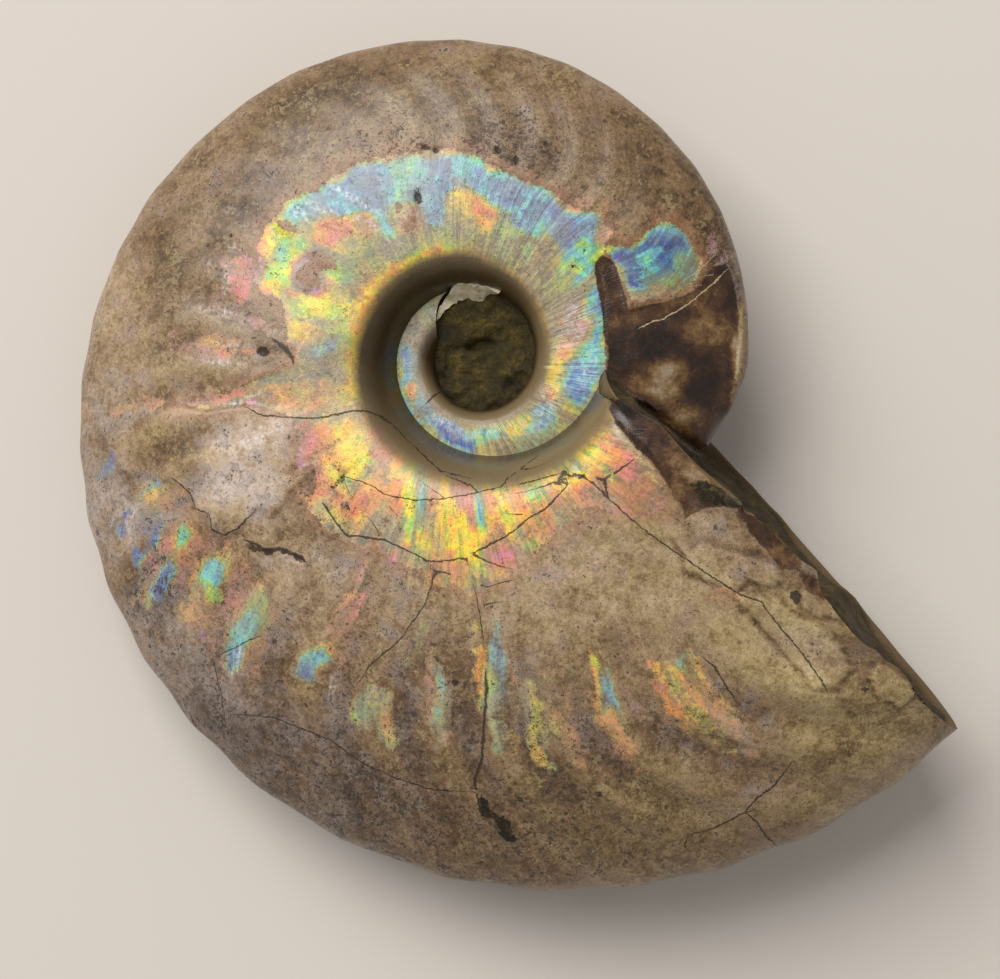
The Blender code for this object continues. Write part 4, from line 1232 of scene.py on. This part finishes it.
def shell_material():
    """Fossil ammonite shell with its mother of pearl, ground and polished by hand.

    Polished aragonite and calcite: a soft gloss over deep mottled colour, dull only in the pits.
    The pearl's colours are in its base, because the light that makes them can't be carried along.
    """
    material, tree, shader = new_material("polished_ammonite_shell")
    place = add(tree, "VectorMath", {0: add(tree, "TexCoord", out=3), "Scale": 1 / MM}, operation="SCALE")
    coil_map = add(tree, "UVMap", uv_map="coil")
    field = {name: add(tree, "Attribute", attribute_name=name, out=2) for name in SHELL_FIELDS}
    layer = {}
    for name, (per_mm, detail, roughness, shift) in SHELL_NOISE.items():
        moved = add(tree, "VectorMath", [place, (shift, shift, shift)], operation="ADD")
        look = {"Vector": moved, "Scale": per_mm, "Detail": detail, "Roughness": roughness}
        layer[name] = add(
            tree, "Math", [add(tree, "TexNoise", look), *STRETCH_NOISE], operation="MULTIPLY_ADD",
        )
    for name, (per_radian, per_mm) in STREAKS.items():
        drawn_out = add(tree, "VectorMath", [coil_map, (per_radian, per_mm, 0.0)], operation="MULTIPLY")
        look = {"Vector": drawn_out, "Scale": 1.0, "Detail": 2.0}
        raw = add(tree, "TexNoise", look, noise_dimensions="2D")
        layer[name] = add(tree, "Math", [raw, *STRETCH_NOISE], operation="MULTIPLY_ADD")
    for name in ("growth", "lines"):
        layer[name] = add(tree, "Math", [layer[name], field["streak"]], operation="MULTIPLY")
    bend = add(tree, "TexNoise", {"Vector": place, "Scale": 0.9, "Detail": 4.0, "Roughness": 0.75}, out=1)
    bent = add(tree, "VectorMath", [bend, PATCH_BEND, place], operation="MULTIPLY_ADD")
    for name, per_mm in PATCHES.items():
        random = add(tree, "TexVoronoi", {"Vector": bent, "Scale": per_mm}, out=1)
        for part in range(2):
            raw = add(tree, "SeparateColor", [random], out=part)
            layer[name, part] = add(tree, "Math", [raw, *STRETCH_RANDOM], operation="MULTIPLY_ADD")

    # The outer shell: its tone from dark to pale, its cast, and its brown and chalky patches
    tone = total(
        tree, field["pale"], (layer["clouds"], 0.16), (layer["mottle"], 0.17), (layer["ragged"], 0.19),
        (layer["grain"], 0.11), (layer["dust"], 0.1), (layer["growth"], 0.06), (layer["chips", 0], 0.06),
        (layer["plates", 1], 0.05),
    )
    warmth = total(tree, field["red"], (layer["mottle"], 0.35), (layer["clouds"], 0.3))
    cast = overlaid(tree, linear(OLIVE_CAST), (warmth, linear(ROSE_CAST)))
    brown = total(
        tree, layer["ragged"], (layer["mottle"], 1.2), (layer["clouds"], 0.8), (layer["dust"], 0.25),
    )
    brown = add(tree, "MapRange", [brown, 0.35, 0.65, 0.0, 0.42], **SMOOTH)
    white = total(
        tree, layer["blots"], (layer["mottle"], -1.0), (layer["clouds"], -0.6), (layer["dust"], 0.3),
    )
    white = add(tree, "MapRange", [white, 0.5, 0.9, 0.0, 0.35], **SMOOTH)
    shell = add(tree, "ValToRGB", [tone], SHELL_BAND)
    shell = overlaid(tree, shell, (brown, linear(BROWN_PATCH)), (white, linear(CHALKY_PATCH)))
    shell = add(tree, "Mix", {0: 0.85, 6: shell, 7: cast}, blend_type="MULTIPLY", **COLOUR)
    faded = add(tree, "MapRange", [warmth, 0.5, 1.1, 1.0, 0.55], **SMOOTH)
    shell = add(tree, "HueSaturation", {"Saturation": faded, "Color": shell})

    # Dirt in blots, specks and pits
    peppered = total(tree, -0.12, (field["spots"], 0.62), (layer["mottle"], 0.3))
    blots = total(tree, peppered, (layer["blots"], 1.0))
    blots = add(tree, "MapRange", [blots, 0.7, 0.8, 0.0, 0.8], **SMOOTH)
    pepper = total(tree, peppered, (layer["dust"], 1.0))
    pepper = add(tree, "MapRange", [pepper, 0.68, 0.9, 0.0, 0.7], **SMOOTH)
    specks = add(tree, "Math", [blots, pepper], operation="MAXIMUM")
    cells = add(tree, "TexVoronoi", {"Vector": bent, "Scale": 0.6})
    pits = add(tree, "MapRange", [cells, 0.2, 0.12, 0.0, 0.8], **SMOOTH)
    pits = add(tree, "Math", [pits, field["spots"]], operation="MULTIPLY")

    # Mother of pearl: where it is bared, its hue, how vivid it is, and its painted glints and shade
    edge = total(tree, field["pearl"], (layer["ragged"], 0.5), (layer["dust"], 0.12))
    on_pearl = add(tree, "MapRange", [edge, -0.06, 0.1], **SMOOTH)
    near_edge = add(tree, "MapRange", [edge, 0.1, 1.1, 1.0, 0.0], **SMOOTH)
    near_edge = add(tree, "Math", [near_edge, on_pearl], operation="MULTIPLY")
    glow = total(tree, edge, (layer["mottle"], 1.2))
    glow = add(tree, "MapRange", [glow, -1.8, 0.1, 0.0, 0.3], **SMOOTH)
    torn = total(
        tree, field["sheen"], (layer["ragged"], 0.26), (layer["dust"], 0.2), (layer["growth"], 0.12),
        (layer["chips", 1], 0.1),
    )
    on_sheen = add(tree, "MapRange", [torn, 0.35, 1.0, 0.0, 0.85], **SMOOTH)
    phase = total(
        tree, field["hue"], (layer["plates", 0], 0.08), (layer["chips", 0], 0.06), (layer["bands"], 0.04),
        (layer["growth"], 0.045), (layer["lines"], 0.015), (layer["ragged"], 0.04), (near_edge, 0.1),
    )
    strength = total(
        tree, field["vivid"], (layer["plates", 1], 0.16), (layer["chips", 1], 0.18), (layer["growth"], 0.08),
        (layer["ragged"], 0.18), (layer["dust"], 0.14), (on_sheen, -0.1),
    )
    strength = add(tree, "Clamp", [strength])
    cool = add(tree, "MapRange", [field["hue"], 0.4, 0.28], **SMOOTH)
    pearl = overlaid(
        tree, linear(PEARL_GREY), (cool, linear(PEARL_COOL_GREY)),
        (strength, add(tree, "ValToRGB", [phase], PEARL_BAND)),
    )
    # Painted glints and shade: the pearl's brightness is raised and lowered by noise, by how vivid it is, and
    # by the painted shading ovals
    painted_pearl_glint_and_shade = total(
        tree, layer["grain"], (layer["dust"], 0.6), (layer["growth"], 0.9), (layer["lines"], 0.6),
        (layer["chips", 1], 0.5), (field["vivid"], 0.6), (field["pearl_tone_and_painted_shading"], -1.6),
    )
    painted_pearl_light_factor = add(tree, "MapRange", [painted_pearl_glint_and_shade, -1.7, 2.1, 0.62, 1.42], **SMOOTH)
    painted_pearl_light_factor = add(tree, "CombineXYZ", [painted_pearl_light_factor, painted_pearl_light_factor, painted_pearl_light_factor])
    pearl = add(tree, "Mix", {0: 1.0, 6: pearl, 7: painted_pearl_light_factor}, blend_type="MULTIPLY", **COLOUR)
    stain = total(tree, layer["ragged"], (layer["dust"], 0.8), (layer["clouds"], 0.5))
    stain = add(tree, "MapRange", [stain, 0.75, 1.05, 0.0, 0.8], **SMOOTH)

    # The wall of the hollow, with its painted shade
    well = overlaid(tree, linear(WALL_PALE), (field["painted_wall_shade"], linear(WALL_PAINTED_SHADE_COLOUR)))
    streaky = total(tree, layer["mottle"], (layer["lines"], 1.0))
    streaky = add(tree, "MapRange", [streaky, -1.2, 1.2, 0.0, 0.3])
    outer = add(tree, "MapRange", [field["wall"], 1.0, 0.4, 0.0, 0.8], **SMOOTH)
    well = overlaid(tree, well, (streaky, linear(WALL_STREAK)), (outer, linear(WALL_GOLD)))

    # Calcite where the outer shell is gone, and moss
    on_calcite = total(tree, field["calcite"], (layer["ragged"], 0.22), (layer["dust"], 0.08))
    on_calcite = add(tree, "MapRange", [on_calcite, -0.08, 0.1], **SMOOTH)
    depth = total(
        tree, field["pale"], (layer["clouds"], 0.16), (layer["mottle"], 0.2), (layer["ragged"], 0.14),
        (layer["chips", 0], 0.08), (layer["grain"], 0.08),
    )
    calcite = add(tree, "ValToRGB", [depth], CALCITE_BAND)
    on_moss = total(tree, field["moss"], (layer["ragged"], 0.35))
    on_moss = add(tree, "MapRange", [on_moss, -0.1, 0.15], **SMOOTH)
    tufts = total(tree, layer["grain"], (layer["mottle"], 1.0))
    tufts = add(tree, "MapRange", [tufts, -1.2, 1.8, 0.0, 0.78], **SMOOTH)
    moss = add(tree, "ValToRGB", [tufts], MOSS_BAND)

    # Cracks, veins, holes and painted highlights, and then one over the other
    uneven = add(tree, "MapRange", [total(tree, layer["ragged"], (layer["grain"], 1.0)), -0.9, 0.9, 0.4, 1.5])
    drawn = {}
    for name, share in (("vein", 1.0), ("crack", 0.9)):
        off = total(tree, field[name], (layer["wiggle"], 0.13))
        off = add(tree, "Math", [off], operation="ABSOLUTE")
        width = add(tree, "Math", [field[name + "_width"], uneven, 0.001], operation="MULTIPLY_ADD")
        off = add(tree, "Math", [off, width], operation="DIVIDE")
        drawn[name] = add(tree, "MapRange", [off, 0.9, 0.3, 0.0, share], **SMOOTH)
    hole = total(tree, field["hole"], (layer["dust"], 0.1), (layer["ragged"], 0.2))
    in_hole = add(tree, "MapRange", [hole, -0.04, 0.06, 0.0, 0.9], **SMOOTH)
    # Painted highlights: white streaks laid into the colour inside the gleam ovals
    painted_gleam = total(tree, layer["lines"], (layer["grain"], 1.0), (layer["ragged"], 0.5))
    painted_gleam = add(tree, "MapRange", [painted_gleam, -0.4, 1.2, 0.0, 0.6], **SMOOTH)
    painted_gleam = add(tree, "Math", [painted_gleam, field["painted_gleam"]], operation="MULTIPLY")
    specks = add(tree, "Math", [specks, total(tree, 1.0, (on_pearl, -0.45))], operation="MULTIPLY")
    dirt = linear(PIT_COLOUR)
    colour = overlaid(
        tree, shell, (glow, linear(GLOW_COLOUR)), (on_sheen, pearl), (on_pearl, pearl),
        (stain, linear(STAIN_COLOUR)), (specks, dirt), (pits, dirt), (field["wall"], well),
        (on_calcite, calcite), (on_moss, moss), (drawn["vein"], linear(VEIN_COLOUR)),
        (drawn["crack"], linear(CRACK_COLOUR)), (in_hole, linear(CRACK_COLOUR)),
        (painted_gleam, linear(PAINTED_GLEAM_COLOUR)),
    )

    # How dull it is, and its fine relief
    sunk = add(tree, "Math", [drawn["crack"], in_hole], operation="MAXIMUM")
    dull = total(
        tree, 0.42, (specks, 0.3), (on_pearl, -0.1), (on_calcite, -0.12), (layer["mottle"], 0.06),
        (field["wall"], 0.1), (sunk, 0.5),
    )
    dull = add(tree, "Math", [dull, on_moss], operation="ADD", use_clamp=True)
    tufted = add(tree, "Math", [on_moss, tufts], operation="MULTIPLY")
    height = total(
        tree, 0.0, (layer["grain"], 0.06), (layer["dust"], 0.05), (layer["lines"], 0.05),
        (layer["ragged"], 0.06), (pits, -0.4), (specks, -0.25), (sunk, -0.9), (on_pearl, -0.2),
        (on_calcite, -0.5), (tufted, 1.5),
    )
    bump = add(tree, "Bump", {"Height": height, "Strength": 0.7, "Distance": 0.16 * MM})
    tree.links.new(colour, shader.inputs["Base Color"])
    tree.links.new(dull, shader.inputs["Roughness"])
    tree.links.new(bump, shader.inputs["Normal"])
    shader.inputs["IOR"].default_value = 1.53
    shader.inputs["Coat Weight"].default_value = 0.2
    shader.inputs["Coat Roughness"].default_value = 0.22
    return material


def stone_material(name, band, rim=None):
    """Hardened mud and moss: matt, crumbly and dark, as broken or left unpolished."""
    material, tree, shader = new_material(name)
    place = add(tree, "VectorMath", {0: add(tree, "TexCoord", out=3), "Scale": 1 / MM}, operation="SCALE")
    coarse = add(tree, "TexNoise", {"Vector": place, "Scale": 0.5, "Detail": 5.0, "Roughness": 0.65})
    fine = add(tree, "TexNoise", {"Vector": place, "Scale": 2.4, "Detail": 4.0, "Roughness": 0.7})
    both = total(tree, -0.3, (coarse, 1.1), (fine, 0.6))
    colour = add(tree, "ValToRGB", [both], band)
    if rim:
        inset = add(tree, "Attribute", attribute_name="inset", out=2)
        on_rim = add(tree, "MapRange", [total(tree, inset, (coarse, 1.2)), 1.1, 1.7, 1.0, 0.0])
        colour = overlaid(tree, colour, (on_rim, linear(rim)))
    bump = add(tree, "Bump", {"Height": both, "Strength": 0.9, "Distance": 0.4 * MM})
    tree.links.new(colour, shader.inputs["Base Color"])
    tree.links.new(bump, shader.inputs["Normal"])
    shader.inputs["Roughness"].default_value = 0.85
    return material


def flake_material():
    """Chalky inner shell: pale, dull aragonite, stained by the mud in places."""
    material, tree, shader = new_material("chalky_shell_flake")
    place = add(tree, "VectorMath", {0: add(tree, "TexCoord", out=3), "Scale": 1 / MM}, operation="SCALE")
    stain = add(tree, "TexNoise", {"Vector": place, "Scale": 1.1, "Detail": 5.0, "Roughness": 0.7})
    colour = add(tree, "ValToRGB", [stain], FLAKE_BAND)
    bump = add(tree, "Bump", {"Height": stain, "Strength": 0.7, "Distance": 0.2 * MM})
    tree.links.new(colour, shader.inputs["Base Color"])
    tree.links.new(bump, shader.inputs["Normal"])
    shader.inputs["Roughness"].default_value = 0.55
    return material


# What stands on the table

def place_piece(mesh, *materials):
    """Puts a finished mesh in the scene as a piece of the fossil."""
    piece = bpy.data.objects.new(mesh.name, mesh)
    bpy.context.scene.collection.objects.link(piece)
    for material in materials:
        mesh.materials.append(material)
    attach(piece, "root")
    return piece


stone = stone_material("mossy_stone_filling", MOSS_BAND)
core = stone_material("broken_stone_core", CORE_BAND_WITH_PAINTED_SHADE, rim=RIM_COLOUR)
shell_piece = place_piece(shell_mesh(), shell_material(), stone, core)
place_piece(filling_mesh(), stone)
place_piece(flake_mesh(), flake_material())
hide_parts("ammonite")


def table():
    """A plain pale table top, matt."""
    flat = bmesh.new()
    bmesh.ops.create_grid(flat, x_segments=1, y_segments=1, size=1.5)
    mesh = bpy.data.meshes.new("table")
    flat.to_mesh(mesh)
    flat.free()
    material, _, shader = new_material("pale_matt_card")
    shader.inputs["Base Color"].default_value = linear(CARD_COLOUR)
    shader.inputs["Roughness"].default_value = 0.9
    mesh.materials.append(material)
    top = bpy.data.objects.new("table", mesh)
    bpy.context.scene.collection.objects.link(top)


def soft_light(name, place, size, power, colour):
    """A large soft box that faces the fossil."""
    light = bpy.data.lights.new(name, "AREA")
    light.shape = "SQUARE"
    light.size = size
    light.energy = power
    light.color = linear(colour)[:3]
    lamp = bpy.data.objects.new(name, light)
    lamp.location = place
    lamp.rotation_euler = (-mathutils.Vector(place)).to_track_quat("-Z", "Y").to_euler()
    bpy.context.scene.collection.objects.link(lamp)


table()
soft_light("window", (-0.46, 0.64, 0.95), 0.9, 14.8, WINDOW_COLOUR)
world = bpy.data.worlds.new("soft_room")
world.use_nodes = True
world.node_tree.nodes["Background"].inputs["Color"].default_value = linear(ROOM_COLOUR)
world.node_tree.nodes["Background"].inputs["Strength"].default_value = ROOM_STRENGTH
bpy.context.scene.world = world

bpy.context.scene.view_settings.view_transform = "Standard"

lens = bpy.data.cameras.new("camera")
lens.sensor_width = 36.0
lens.lens = PIXELS_PER_MM * CAMERA_DISTANCE / PICTURE[0] * lens.sensor_width
lens.clip_start = 0.01
camera = bpy.data.objects.new("camera", lens)
camera.location = [part * MM for part in camera_place()]
bpy.context.scene.collection.objects.link(camera)
bpy.context.scene.camera = camera
